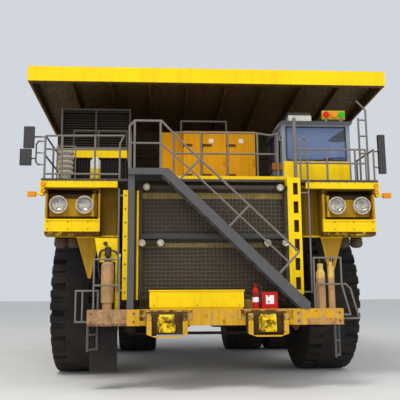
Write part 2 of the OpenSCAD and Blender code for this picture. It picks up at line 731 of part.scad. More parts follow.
// Rails of the landing and the stairs, and the guards on the bumper
module stair_rails() {
  color([0.7, 0.7, 0.66]) placed() {
    y = stair_y0 + 15;
    top = land_z + 1050;
    foot = on_stair(3260, stair_rail);
    knee = on_stair(-150, stair_rail);
    tube([[land_x + 20, deck_y - 60, land_z], [land_x + 20, deck_y - 60, top - 130],
      [land_x + 20, y, top - 130], [-1740, y, top], [-1160, y, top], [knee[0], y, knee[1]],
      [foot[0], y, foot[1]]], tube_r);
    translate([land_x + 20, y, land_z]) cylinder(h = 920, r = tube_r);
    for (x = [-1740, -1180]) translate([x, y, land_z]) cylinder(h = 1050, r = tube_r);
    mid = on_stair(350, stair_rail / 2);
    low = on_stair(3260, stair_rail / 2);
    tube([[land_x + 20, y, top - 500], [-1180, y, top - 500], [mid[0], y, mid[1]],
      [low[0], y, low[1]]], tube_r - 4);
    for (a = [350, 1810, 3260]) {
      p = on_stair(a, seat);
      q = on_stair(a, stair_rail);
      bar([p[0], y, p[1]], [q[0], y, q[1]], tube_r);
    }
  }
  // Guards, handles and pipes round the bumper: each a list of points
  guards = [
    [[-bumper_x, -3930, 1400], [-2940, -3930, 1400], [-2940, -3930, 2040],
      [-2480, -3930, 2040], [-2480, -3930, bumper_top]],
    [[-2800, -3930, 1400], [-2800, -3930, 2040]],
    [[-2560, -4050, bumper_top], [-2560, -4050, 2690], [-2030, -4050, 2690],
      [-2030, -4050, bumper_top]],
    [[-2560, -4050, 2150], [-2030, -4050, 2150]],
    [[bumper_x, -3968, 1440], [3060, -3968, 1440], [2900, -3968, 2060], [2800, -3968, 2160],
      [2160, -3968, 2160], [2160, -3968, bumper_top]],
    [[bumper_x, -4010, 1520], [2860, -4010, 1520], [2700, -4010, 2160], [2700, -4010, 2720],
      [2110, -4010, 2720], [2110, -4010, bumper_top]],
    [[grille_x + 300, -3640, 2000], [2150, -3640, 2000], [2150, -3640, 4900]],
    [[grille_x + 300, -3640, 4200], [2150, -3640, 4200]],
    [[-1990, -3741, 2050], [-2080, -3741, 2050], [-2080, -3741, 4260]],
    [[-1990, -3741, 4100], [-2080, -3741, 4100]]];
  color([0.7, 0.7, 0.66]) placed() for (g = guards) tube(g, 19);
}

// Lamps and air cleaners
lamp_x = [2870, 3450];
lamp_z = 3950;
lamp_low = 3260;
box_x1 = 3730;

module lamp_boxes() {
  top = deck_z - 200;
  back = -2950;
  color([0.95, 0.75, 0.05]) placed() pair() {
    difference() {
      blk([2520, box_x1], [deck_y, back], [lamp_low, top - seat]);
      blk([2560, box_x1 - 40], [deck_y - 10, back - 40], [3620, top - 40]);
      blk([2560, box_x1 - 40], [deck_y + 40, back - 40], [lamp_low + 40, 3700]);
      // Chamfer under the lower panel
      side([2500, 3750], [[deck_y - 10, lamp_low - 10], [deck_y + 70, lamp_low - 10],
        [deck_y - 10, lamp_low + 90]]);
    }
    // Backing plate of the lamps, and the fold over the lower panel
    blk([2600, 3660], [-3260, -3240], [3700, 4200]);
    for (x = [2600, 3610]) blk([x, x + 50], [-3250, back - 30], [3720, 4180]);
    blk([2540, 3710], [deck_y - 18, deck_y + 5], [3590, 3620]);
    blk([2150, 2530], [back - 40, back], [lamp_low, under_deck]);
    for (x = [2190, 2440]) blk([x, x + 40], [back - 70, back - 35], [lamp_low + 40, under_deck - 40]);
  }
}

module lamps() {
  head = [[0, 40], [150, 22], [172, 8], [184, 0], [205, 0], [205, 70], [180, 100], [150, 138],
    [0, 138]];
  small = [[0, 10], [60, 4], [66, 0], [75, 0], [75, 60], [30, 99], [0, 99]];
  marker = [[0, 12], [28, 8], [34, 0], [50, 0], [50, 30], [0, 30]];
  color([0.8, 0.8, 0.75]) placed() pair() {
    for (x = lamp_x) facing(x, -3398 - seat, lamp_z, head);
    for (x = [1170, 1570]) facing(x, -3799 - seat, 3060, small);
    facing(1480, -3799 - seat, 4290, small);
    for (z = [4255, 4405]) facing(deck_x - 60, deck_y - 30, z, marker);
  }
}

module air_cleaners() {
  color([0.5, 0.42, 0.25]) placed() pair() for (x = [2800, 3160, 3460])
    turned(x, -2802, [[0, 3030], [60, 3030], [100, 3060], [118, 3140], [122, 3240], [140, 3260],
      [140, 4300], [125, 4330], [125, under_deck], [0, under_deck]]);
}

// Boxes on the deck
module grid_box() {
  louvres = 15;
  color([0.12, 0.12, 0.12]) placed() {
    difference() {
      blk(grid_x, [grid_y, 300], [deck_z, grid_top]);
      for (x = [[grid_x[0] + 60, -2810], [-2730, grid_x[1] - 60]])
        blk(x, [grid_y - 10, grid_y + 90], [unit_top + 90, grid_top - 60]);
    }
    // Slanted blades in the two openings
    for (i = [0:louvres - 1]) {
      z = unit_top + 100 + i * (grid_top - unit_top - 170) / louvres;
      side([grid_x[0] + 30, grid_x[1] - 30], [[grid_y + 12, z], [grid_y + 100, z + 55],
        [grid_y + 100, z + 67], [grid_y + 12, z + 12]]);
    }
    // Front unit with its slats
    difference() {
      blk(unit_x, [unit_y, grid_y - seat], [deck_z, unit_top - 200 - seat]);
      for (i = [0:17]) blk([unit_x[0] + 40 + i * 68, unit_x[0] + 70 + i * 68],
        [unit_y - 10, unit_y + 40], [deck_z + 90, unit_top - 240]);
    }
  }
}

cabinet_t = 40;
// Cabinet hinges stand in front of the seams, beside the door that they carry
cab_seam = 24;
hinge_u = 8;
hinge_v = 16;
hinge_r = 11;
hinge_pin = 5;
hinge_z = [deck_z + 380, deck_z + 1150];
// Cabinet doors: [from, to]
cabinet_doors = [[-600, -110], [-110, 500], [500, cabinet_x1]];
door_t = 42;

module cabinet() {
  t = cabinet_t;
  front = cabinet_y + door_t + seat;
  color([0.95, 0.65, 0.1]) placed() {
    difference() {
      union() {
        blk([-600, cabinet_x1], [front, cabinet_back], [deck_z, cabinet_top]);
        blk([cabinet_x0, -590], [cabinet_y + 200, cabinet_back], [deck_z, cabinet_top]);
      }
      blk([-600 + t, cabinet_x1 - t], [cabinet_y, cabinet_back - t],
        [deck_z + t, cabinet_top - t]);
      blk([cabinet_x0 + t, -560 + t], [cabinet_y + 240, cabinet_back - t],
        [deck_z + t, cabinet_top - t]);
    }
    // Mullions between the doors
    for (i = [1, 2]) blk([cabinet_doors[i][0] - 20, cabinet_doors[i][0] + 40],
      [front, front + 24], [deck_z + 10, cabinet_top - 10]);
    // Hinge lugs, reaching through the seams, and their pins
    for (d = cabinet_doors) for (z = hinge_z) {
      for (s = [-60, 32]) {
        blk([d[0] - 3, d[0] + 3], [cabinet_y - hinge_v, front + 5], [z + s, z + s + 28]);
        blk([d[0] - 3, d[0] + hinge_u], [cabinet_y - hinge_v - 8, cabinet_y - hinge_v + 8],
          [z + s, z + s + 28]);
      }
      translate([d[0] + hinge_u, cabinet_y - hinge_v, z - 60]) cylinder(h = 120, r = hinge_pin);
    }
  }
}

module cabinet_door(i) {
  d = cabinet_doors[i];
  half = 32 - seat;
  color([0.95, 0.65, 0.1]) placed() {
    blk([d[0] + cab_seam / 2, d[1] - cab_seam / 2], [cabinet_y, cabinet_y + door_t],
      [deck_z + 20, cabinet_top - 20]);
    // Strap hinges
    for (z = hinge_z) difference() {
      union() {
        translate([d[0] + hinge_u, cabinet_y - hinge_v, z - half]) cylinder(h = 2 * half, r = hinge_r);
        blk([d[0] + hinge_u, d[0] + 230], [cabinet_y - hinge_v, cabinet_y - 6], [z - half, z + half]);
        blk([d[0] + 30, d[0] + 230], [cabinet_y - hinge_v, cabinet_y + 5], [z - half, z + half]);
      }
      translate([d[0] + hinge_u, cabinet_y - hinge_v, z - 60]) cylinder(h = 120, r = hinge_pin + seat);
    }
    // Latch handle near the free edge
    tube([[d[1] - 70, cabinet_y + 2, 5200], [d[1] - 70, cabinet_y - 40, 5200],
      [d[1] - 70, cabinet_y - 40, 5360], [d[1] - 70, cabinet_y + 2, 5360]], 9);
  }
}

module cabinet_door_1() {
  cabinet_door(0);
}

module cabinet_door_2() {
  cabinet_door(1);
}

module cabinet_door_3() {
  cabinet_door(2);
}

// Cab
door_y0 = -2000;
trainer_y0 = -2780;
door_low = deck_z + 50;
door_top = cab_top - 50;
sill = 5120;
head = 5940;
// Cab hinges stand outside the panels, over the seam at each door's front edge
cab_hinge_out = 25;
cab_hinge_r = 18;
cab_pin = 8;
cab_hinge_z = [door_low + 200, door_top - 260];

// Lugs and pins of a hinge on the cab's side: the sign tells which way is outward
module cab_lugs(face_x, out, y) {
  for (z = cab_hinge_z) {
    for (s = [-80, 46]) translate([face_x, y, z + s]) mirror([out > 0 ? 0 : 1, 0, 0]) {
      blk([-5, cab_hinge_out + 10], [-70, -seam / 2], [0, 34]);
      blk([cab_hinge_out - 10, cab_hinge_out + 10], [-20, 12], [0, 34]);
    }
    translate([face_x + out * cab_hinge_out, y, z - 80]) cylinder(h = 160, r = cab_pin);
  }
}

// Barrels of a hinge on its door
module cab_barrels(face_x, out, y) {
  half = 46 - seat;
  for (z = cab_hinge_z) translate([face_x, y, z]) mirror([out > 0 ? 0 : 1, 0, 0]) {
    translate([cab_hinge_out, 0, -half]) cylinder(h = 2 * half, r = cab_hinge_r);
    blk([-5, cab_hinge_out + 6], [seam / 2 + 1, 90], [-half, half]);
    blk([10, cab_hinge_out + 6], [0, 20], [-half, half]);
  }
}
// Cab windows through front and back: [from, to, sill]
end_windows = [[cab_x0 + 110, cab_x1 - 110, sill]];
// Cab windows beside the doors: [across, from, to]
side_windows = [[cab_x1 - cab_t, cab_y0 + 120, door_y0 - 90],
  [cab_x0, trainer_y0 + door_w + 90, cab_y1 - 140]];

module cab_shell() {
  t = cab_t;
  color([0.55, 0.55, 0.5]) placed() {
    difference() {
      blk([cab_x0, cab_x1], [cab_y0, cab_y1], [deck_z, cab_top]);
      blk([cab_x0 + t, cab_x1 - t], [cab_y0 + t, cab_y1 - t], [deck_z + 40, cab_top + 10]);
      for (w = end_windows) blk([w[0], w[1]], [cab_y0 - 10, cab_y0 + t + 10], [w[2], head]);
      for (w = end_windows) blk([w[0] + 200, w[1] - 200], [cab_y1 - t - 10, cab_y1 + 10],
        [w[2], head]);
      for (w = side_windows) blk([w[0] - 10, w[0] + t + 10], [w[1], w[2]], [sill, head]);
      blk([cab_x0 - 10, cab_x0 + t + 10], [trainer_y0, trainer_y0 + door_w],
        [door_low, door_top]);
      blk([cab_x1 - t - 10, cab_x1 + 10], [door_y0, door_y0 + door_w], [door_low, door_top]);
    }
    cab_lugs(cab_x1, 1, door_y0 + seam / 2);
    cab_lugs(cab_x0, -1, trainer_y0 + seam / 2);
    // Stiffening ribs on the back wall
    for (x = [cab_x0 + 160, cab_x1 - 220]) blk([x, x + 60], [cab_y1 - 5, cab_y1 + 25],
      [deck_z + 20, cab_top - 20]);
  }
}

module cab_roof() {
  top = cab_top + 80;
  color([0.7, 0.7, 0.66]) placed() {
    // Roof plate with its visor over the windscreen
    side([cab_x0 - 30, cab_x1 + 30], [[cab_y0 - 160, cab_top + 20], [cab_y0 - 150, cab_top + 50],
      [cab_y0 + 60, top], [cab_y1 + 30, top], [cab_y1 + 30, cab_top + seat],
      [cab_y0 - 20, cab_top + seat]]);
    // Air conditioner with rounded shoulders
    side([2004, 2576], [[-2500, top - 1], [-2500, 6300], [-2440, 6420], [-2330, 6480],
      [-1650, 6480], [-1560, 6430], [-1520, 6330], [-1520, top - 1]]);
    // Box with three round signal lamps on two legs
    blk([2830, 3400], [-2600, -2500], [6235, 6455]);
    for (x = [2922, 3115, 3308]) ybar(x, [-2640, -2590], 6345, 78);
    for (x = [2900, 3270]) blk([x, x + 60], [-2580, -2520], [top - 1, 6240]);
  }
}

module cab_glass() {
  g = 12;
  m = cab_t / 2;
  color([0.4, 0.5, 0.6, 0.4]) placed() {
    for (w = end_windows) {
      blk([w[0], w[1]], [cab_y0 + m - g, cab_y0 + m], [w[2], head]);
      blk([w[0] + 200, w[1] - 200], [cab_y1 - m, cab_y1 - m + g], [w[2], head]);
    }
    for (w = side_windows)
      blk([w[0] + m - g / 2, w[0] + m + g / 2], [w[1], w[2]], [sill, head]);
  }
}

module cab_interior() {
  floor_in = deck_z + 40;
  color([0.15, 0.15, 0.16]) placed() {
    // Seats: [across, along]
    for (s = [[2750, -1900], [2080, -1750]]) translate([s[0], s[1], floor_in]) {
      blk([-170, 170], [-170, 170], [0, 320]);
      side([-250, 250], [[-270, 300], [-270, 400], [-200, 440], [250, 440], [250, 300]]);
      side([-240, 240], [[150, 400], [200, 1050], [250, 1080], [310, 1050], [300, 400]]);
    }
    side([cab_x0 + cab_t, cab_x1 - cab_t], [[cab_y0 + cab_t, floor_in], [cab_y0 + cab_t, 5060],
      [-2700, 5090], [-2600, 4960], [-2640, floor_in]]);
    bar([2750, -2640, 4900], [2750, -2430, 5110], 30);
    translate([2750, -2425, 5115]) rotate([45, 0, 0]) rotate_extrude()
      translate([195, 0]) circle(r = 18);
    bar([2560, -2425, 5115], [2940, -2425, 5115], 14);
  }
}

module cab_door(face_x, out, door_y0) {
  x = out > 0 ? [face_x - cab_t, face_x] : [face_x, face_x + cab_t];
  y = [door_y0 + seam, door_y0 + door_w - seam];
  color([0.55, 0.55, 0.5]) placed() {
    difference() {
      union() {
        blk(x, y, [door_low + seam, door_top - seam]);
        cab_barrels(face_x, out, door_y0 + seam / 2);
      }
      blk([x[0] - 10, x[1] + 10], [y[0] + 82, y[1] - 82], [sill, head - 70]);
      for (z = cab_hinge_z) translate([face_x + out * cab_hinge_out, door_y0 + seam / 2, z - 80])
        cylinder(h = 160, r = cab_pin + seat);
    }
    // Pull handle near the free edge
    tube([[face_x - out * 5, y[1] - 45, 4950], [face_x + out * 50, y[1] - 45, 4950],
      [face_x + out * 50, y[1] - 45, 5200], [face_x - out * 5, y[1] - 45, 5200]], 12);
  }
}

module cab_door_left() {
  cab_door(cab_x1, 1, door_y0);
}

module cab_door_right() {
  cab_door(cab_x0, -1, trainer_y0);
}

module mirrors() {
  near = rail_x + tube_r + seat;
  near_right = near - 2;
  // Housings: [from across, to across, low, high]
  housings = [[-4260, -4030, 5240, 5730], [-4330, -4080, 4840, 5210], [3890, 4050, 4700, 5620]];
  color([0.1, 0.1, 0.1]) placed() {
    for (m = housings) difference() {
      blk([m[0], m[1]], [rail_y - 60, rail_y + 30], [m[2], m[3]]);
      blk([m[0] + 15, m[1] - 15], [rail_y - 40, rail_y + 40], [m[2] + 15, m[3] - 15]);
    }
    // Arms and the frame that carries the left pair
    xbar([-4060, -near], rail_y - 10, 5500, 18);
    tube([[-near, rail_y, 5400], [-3930, rail_y, 5400], [-3980, rail_y, 5330],
      [-3980, rail_y, 4930], [-3930, rail_y, 4860], [-near, rail_y, 4860]], 16);
    xbar([-3980, -near], rail_y, 5130, 13);
    xbar([-4100, -3970], rail_y, 5000, 16);
    for (z = [4850, 5230]) xbar([near_right, 3900], rail_y, z, 18);
  }
}

// Tanks
// Side outline with cut corners: the straps lie a little proud of it
function tank_side(low, high) = [[2850, low], [4050, low], [4250, low + 200],
  [4250, high - 200], [4050, high], [2900, high], [2700, high - 200], [2700, low + 150]];

module fuel_tank() {
  color([0.6, 0.5, 0.2]) placed() {
    side([1300, 3500], tank_side(1350, 2900));
    for (x = [1600, 2400, 3200]) side([x, x + 60], tank_side(1340, 2910));
    turned(3300, 3100, [[0, 2880], [90, 2880], [90, 2950], [60, 2990], [0, 2990]]);
  }
}

module hydraulic_tank() {
  color([0.6, 0.5, 0.2]) placed() mirror([1, 0, 0]) {
    side([1300, 3100], tank_side(1450, 2850));
    for (x = [1500, 2800]) side([x, x + 60], tank_side(1440, 2860));
    turned(2900, 3300, [[0, 2840], [110, 2840], [110, 2900], [70, 2930], [0, 2930]]);
  }
}

// Hoists, along their own axis from the lower pin
module hoist_place() {
  for (s = [-1, 1]) translate([s * hoist_x, hoist_y0, hoist_z0])
    rotate([hoist_tilt, 0, 0]) children();
}

barrel_t = 26;
sleeve_r = hoist_r - barrel_t - seat;
sleeve_t = 24;

module stage(a, b, r, bore, from) {
  difference() {
    translate([0, 0, a]) cylinder(h = b - a, r = r);
    translate([0, 0, from]) cylinder(h = b, r = bore);
  }
}

module hoist_barrels() {
  color([0.3, 0.3, 0.28]) placed() hoist_place() difference() {
    union() {
      stage(130, hoist_len - 330, hoist_r, hoist_r - barrel_t, 190);
      translate([-58, 0, 0]) rotate([0, 90, 0]) cylinder(h = 116, r = 130);
      translate([-58, -90, 0]) cube([116, 180, 180]);
    }
    translate([-80, 0, 0]) rotate([0, 90, 0]) cylinder(h = 160, r = hoist_pin + seat);
  }
}

module hoist_sleeves() {
  color([0.7, 0.7, 0.7]) placed() hoist_place()
    stage(200, hoist_len - 270, sleeve_r, sleeve_r - sleeve_t, 260);
}

module hoist_rods() {
  color([0.75, 0.75, 0.75]) placed() hoist_place() {
    translate([0, 0, 270]) cylinder(h = hoist_len - 430, r = sleeve_r - sleeve_t - seat);
    translate([-55, -60, hoist_len - 165]) cube([110, 120, 120]);
    translate([-55, 0, hoist_len]) rotate([0, 90, 0]) cylinder(h = 110, r = 105);
  }
}

// Bed
module bed_floor() {
  // Cross bolsters as shares of the floor's length
  bolsters = [0.01, 0.13, 0.32, 0.45, 0.59, 0.72, 0.85, 0.965];
  color([0.5, 0.42, 0.22]) placed() {
    side([-skin_x, skin_x], [[floor_y, floor_z], [tail_reach, tail_z],
      [tail_reach, tail_z - plate_t], [floor_y, floor_z - plate_t]]);
    for (b = bolsters) {
      y = floor_y + b * (tail_reach - floor_y);
      side([-skin_x, skin_x], [[y, floor_at(y) - 30], [y + 200, floor_at(y + 200) - 30],
        [y + 200, plate_under(y + 200) - bolster_d], [y, plate_under(y) - bolster_d]]);
    }
  }
}

beam_y0 = 2120;
beam_y1 = tail_reach - 400;
ears = [[rail_in - 110, rail_in - 10], [rail_out + 10, rail_out + 110]];

module bed_beams() {
  ear_z = hoist_z1 + 140;
  color([0.5, 0.42, 0.22]) placed() pair() {
    side([rail_in - 40, rail_out + 40], [[beam_y0, rail_top + 10], [beam_y0, beam_at(beam_y0)],
      [beam_y1, beam_at(beam_y1)], [beam_y1, beam_at(beam_y1) - 150], [8000, rail_top + 10]]);
    // Pivot ears beside each frame rail
    for (x = ears) {
      side(x, [[pivot_y - 200, pivot_z], [pivot_y - 350, rail_top + 100],
        [pivot_y + 350, rail_top + 100], [pivot_y + 200, pivot_z]]);
      xbar(x, pivot_y, pivot_z, 200);
    }
    xbar([rail_in - 110, rail_out + 130], pivot_y, pivot_z, bed_pin);
    // Rubber pads between the beams and the frame
    for (y = [2540, 5650, 6650])
      blk([rail_in + 30, rail_out - 30], [y, y + 200], [rail_top + seat, rail_top + 12]);
    // Hoist ears, hung from a bracket under the plate
    for (x = [[rail_in, rail_out, hoist_z1], [rail_in, hoist_x + 105, ear_z]])
      side([x[0], x[1]], [[hoist_y1 - 200, x[2]], [hoist_y1 + 200, x[2]],
        [hoist_y1 + 200, plate_under(hoist_y1 + 200) - seat],
        [hoist_y1 - 200, plate_under(hoist_y1 - 200) - seat]]);
    for (x = [hoist_x - 105, hoist_x + 65])
      side([x, x + 40], [[hoist_y1 - 80, hoist_z1 - 110], [hoist_y1 + 80, hoist_z1 - 110],
        [hoist_y1 + 200, ear_z + 10], [hoist_y1 - 200, ear_z + 10]]);
  }
}

// Side wall's outline: [along, height]
wall_pts = [[floor_y, floor_z - plate_t], [tail_reach, tail_z - plate_t],
  [tail_reach, tail_z + 350], [tail_reach - 2900, wall_top - 60], [wall_y, wall_top],
  [wall_y, wall_top - 270], [floor_y - 65, floor_z]];

module bed_wall() {
  color([0.55, 0.46, 0.22]) placed() {
    side([skin_x, skin_x + plate_t], wall_pts);
    // Ribs: [along, top share]
    for (r = [[2500, 1], [3700, 1], [4900, 1], [6100, 1], [7300, 1], [8500, 0.8], [9700, 0.45]]) {
      low = floor_at(r[0]) - plate_t;
      blk([skin_x + plate_t - 5, bed_x], [r[0], r[0] + 160],
        [low + 30, low + 30 + (wall_top - low - 200) * r[1]]);
    }
    side([skin_x + plate_t - 5, bed_x], [[wall_y, wall_top], [wall_y, wall_top - 200],
      [tail_reach - 2950, wall_top - 260], [tail_reach - 2950, wall_top - 60]]);
  }
}

module bed_wall_left() {
  bed_wall();
}

module bed_wall_right() {
  mirror([1, 0, 0]) bed_wall();
}

module bed_front() {
  top = wall_top - 110;
  lean = (wall_y - floor_y) / (top - floor_z);
  function front_at(z) = floor_y - plate_t + lean * (z - floor_z);
  color([0.5, 0.42, 0.22]) placed() {
    side([-skin_x, skin_x], [[floor_y, floor_z - plate_t], [floor_y, floor_z],
      [wall_y, top], [wall_y - plate_t, top],
      [floor_y - plate_t, floor_z - plate_t]]);
    // Cross ribs on the front face: heights
    for (z = [3700, 4500, 5300, 6100])
      side([-skin_x, skin_x], [[front_at(z) + 5, z], [front_at(z) - 110, z + 20],
        [front_at(z + 180) - 110, z + 160], [front_at(z + 180) + 5, z + 180]]);
  }
}

module bed_canopy() {
  back = wall_top - 110;
  drop = (canopy_top - plate_t - back) / (wall_y - plate_t - canopy_y);
  function under(y) = canopy_top - plate_t - drop * (y - canopy_y);
  ribs = 8;
  color([0.95, 0.78, 0.05]) placed() {
    side([-bed_x, bed_x], [[canopy_y, canopy_top], [canopy_y, canopy_top - plate_t],
      [wall_y - plate_t, back], [wall_y, back], [wall_y, back + plate_t]]);
    // Edge beam with its folded lip
    side([-bed_x, bed_x], [[canopy_y, canopy_top - 20], [canopy_y, canopy_top - canopy_edge],
      [canopy_y + 130, canopy_top - canopy_edge - 20], [canopy_y + 130, canopy_top - canopy_edge],
      [canopy_y + 60, canopy_top - canopy_edge + 20], [canopy_y + 60, canopy_top - 20]]);
    pair() side([bed_x - 60, bed_x], [[canopy_y, canopy_top - 20],
      [canopy_y, canopy_top - canopy_edge], [wall_y - 80, back - 150], [wall_y - 80, back + 20]]);
    // Ribs along the underside
    for (i = [1:ribs]) {
      x = -bed_x + 2 * bed_x * i / (ribs + 1);
      side([x - 25, x + 25], [[canopy_y + 50, under(canopy_y + 50) + 10],
        [canopy_y + 50, under(canopy_y + 50) - 150], [900, under(900) - 110],
        [wall_y - 120, under(wall_y - 120) - 60], [wall_y - 120, under(wall_y - 120) + 10]]);
    }
  }
}

// What is drawn
main_frame();
bumper();
tow_blocks();
struts();
rear_axle();
engine_block();
radiator();
grille();
front_locker();
extinguishers();
bumper_bottles();
stairs();
mud_flap();
deck();
deck_beams();
handrails();
stair_rails();
lamp_boxes();
lamps();
air_cleaners();
grid_box();
cabinet();
cabinet_door_1();
cabinet_door_2();
cabinet_door_3();
cab_shell();
cab_roof();
cab_glass();
cab_interior();
cab_door_left();
cab_door_right();
mirrors();
fuel_tank();
hydraulic_tank();
steer_barrels();
steer_rod_left();
steer_rod_right();
tie_rod();
knuckle_left();
knuckle_right();
tyre_front_left();
tyre_front_right();
rim_front_left();
rim_front_right();
tyres_rear_left();
tyres_rear_right();
rims_rear_left();
rims_rear_right();
hoist_barrels();
hoist_sleeves();
hoist_rods();
bed_floor();
bed_beams();
bed_wall_left();
bed_wall_right();
bed_front();
bed_canopy();
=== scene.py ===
"""Looks of the mining dump truck: materials, tyres, lamps, small fittings, floor and lights."""

import json
import math

import bmesh
import bpy

from mathutils import Matrix, Vector


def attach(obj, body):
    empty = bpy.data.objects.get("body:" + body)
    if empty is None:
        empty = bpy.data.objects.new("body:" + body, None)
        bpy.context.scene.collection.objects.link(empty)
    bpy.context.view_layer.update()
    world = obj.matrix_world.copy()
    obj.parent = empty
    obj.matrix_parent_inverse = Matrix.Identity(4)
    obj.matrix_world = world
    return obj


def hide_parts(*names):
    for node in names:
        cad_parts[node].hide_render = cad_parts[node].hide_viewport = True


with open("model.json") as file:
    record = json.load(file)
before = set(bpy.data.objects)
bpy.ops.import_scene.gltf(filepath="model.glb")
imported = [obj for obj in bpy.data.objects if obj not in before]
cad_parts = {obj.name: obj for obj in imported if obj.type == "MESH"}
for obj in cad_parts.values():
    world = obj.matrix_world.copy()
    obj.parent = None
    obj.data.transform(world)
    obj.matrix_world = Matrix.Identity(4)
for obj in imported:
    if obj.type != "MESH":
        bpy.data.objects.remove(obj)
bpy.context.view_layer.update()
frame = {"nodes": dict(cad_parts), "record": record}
NODES = frame["nodes"]

# Metres of the shared frame: x towards the truck's left, y rearward, z up
SIDES = (1, -1)
AXLE_Y = -3.4
WHEELBASE = 6.35
REAR_Y = AXLE_Y + WHEELBASE
WHEEL_R = 1.85
# Middle of each tyre, across
FRONT_X = 3.18
INNER_X = 1.9325
OUTER_X = 3.4275
# Planes that small fittings stand on; the last two are those of blank plates
LAMP_BOX_Y = -6.83
GRILLE_Y = -7.08
BRACKET_Y = -7.1
LOCKER_Y = -7.4
BUMPER_Y = -7.52
TOW_Y = -7.78
SCREEN_Y = -6.302
DOOR_PLATE_Y = -5.404
BOX_PLATE_Y = -7.4635


def srgb(red, green, blue):
    """Linear colour from 0..255 values as a screen shows them."""
    def part(value):
        share = value / 255
        return share / 12.92 if share <= 0.04045 else ((share + 0.055) / 1.055) ** 2.4
    return (part(red), part(green), part(blue), 1.0)


YELLOW = srgb(244, 204, 8)
BED_YELLOW = srgb(226, 184, 30)
BRIGHT = srgb(218, 164, 22)
AMBER = srgb(224, 154, 2)
SHADED_LAMP_RIM = srgb(184, 138, 18)
OCHRE = srgb(150, 118, 52)
SHADED_OCHRE = srgb(134, 100, 16)
WORN_BED = srgb(164, 136, 94)
BRICK = srgb(168, 112, 74)
HINGE_BROWN = srgb(92, 58, 22)
# Dark brown of painted shade with dirt, for faces that don't look up
UNDERSIDE = srgb(108, 82, 50)
CAKED_DUST = srgb(96, 74, 44)
# Dark dirt, and painted shade on faces turned from the light
DARK_DIRT_AND_SHADE = srgb(64, 44, 26)
DUST = srgb(172, 146, 104)
GRIME = srgb(42, 34, 22)
RUST = srgb(128, 66, 26)
FADED = srgb(205, 205, 205)
STEEL_BLUE = srgb(84, 84, 86)
RAIL_GREY = srgb(118, 113, 106)
DECK_GREY = srgb(70, 66, 60)
DARK_STEEL = srgb(66, 60, 52)
METAL_FILM = srgb(140, 132, 118)
CAB_GREY = srgb(136, 142, 150)
WHITE = srgb(228, 226, 218)
RUBBER = srgb(28, 27, 28)
WORN_RUBBER = srgb(42, 40, 40)
TYRE_DUST = srgb(104, 94, 80)
# Specular level of paint and rubber under dust
MATT = 0.12
# How softly one tone of a material passes into the next, in metres
EDGE = 0.006


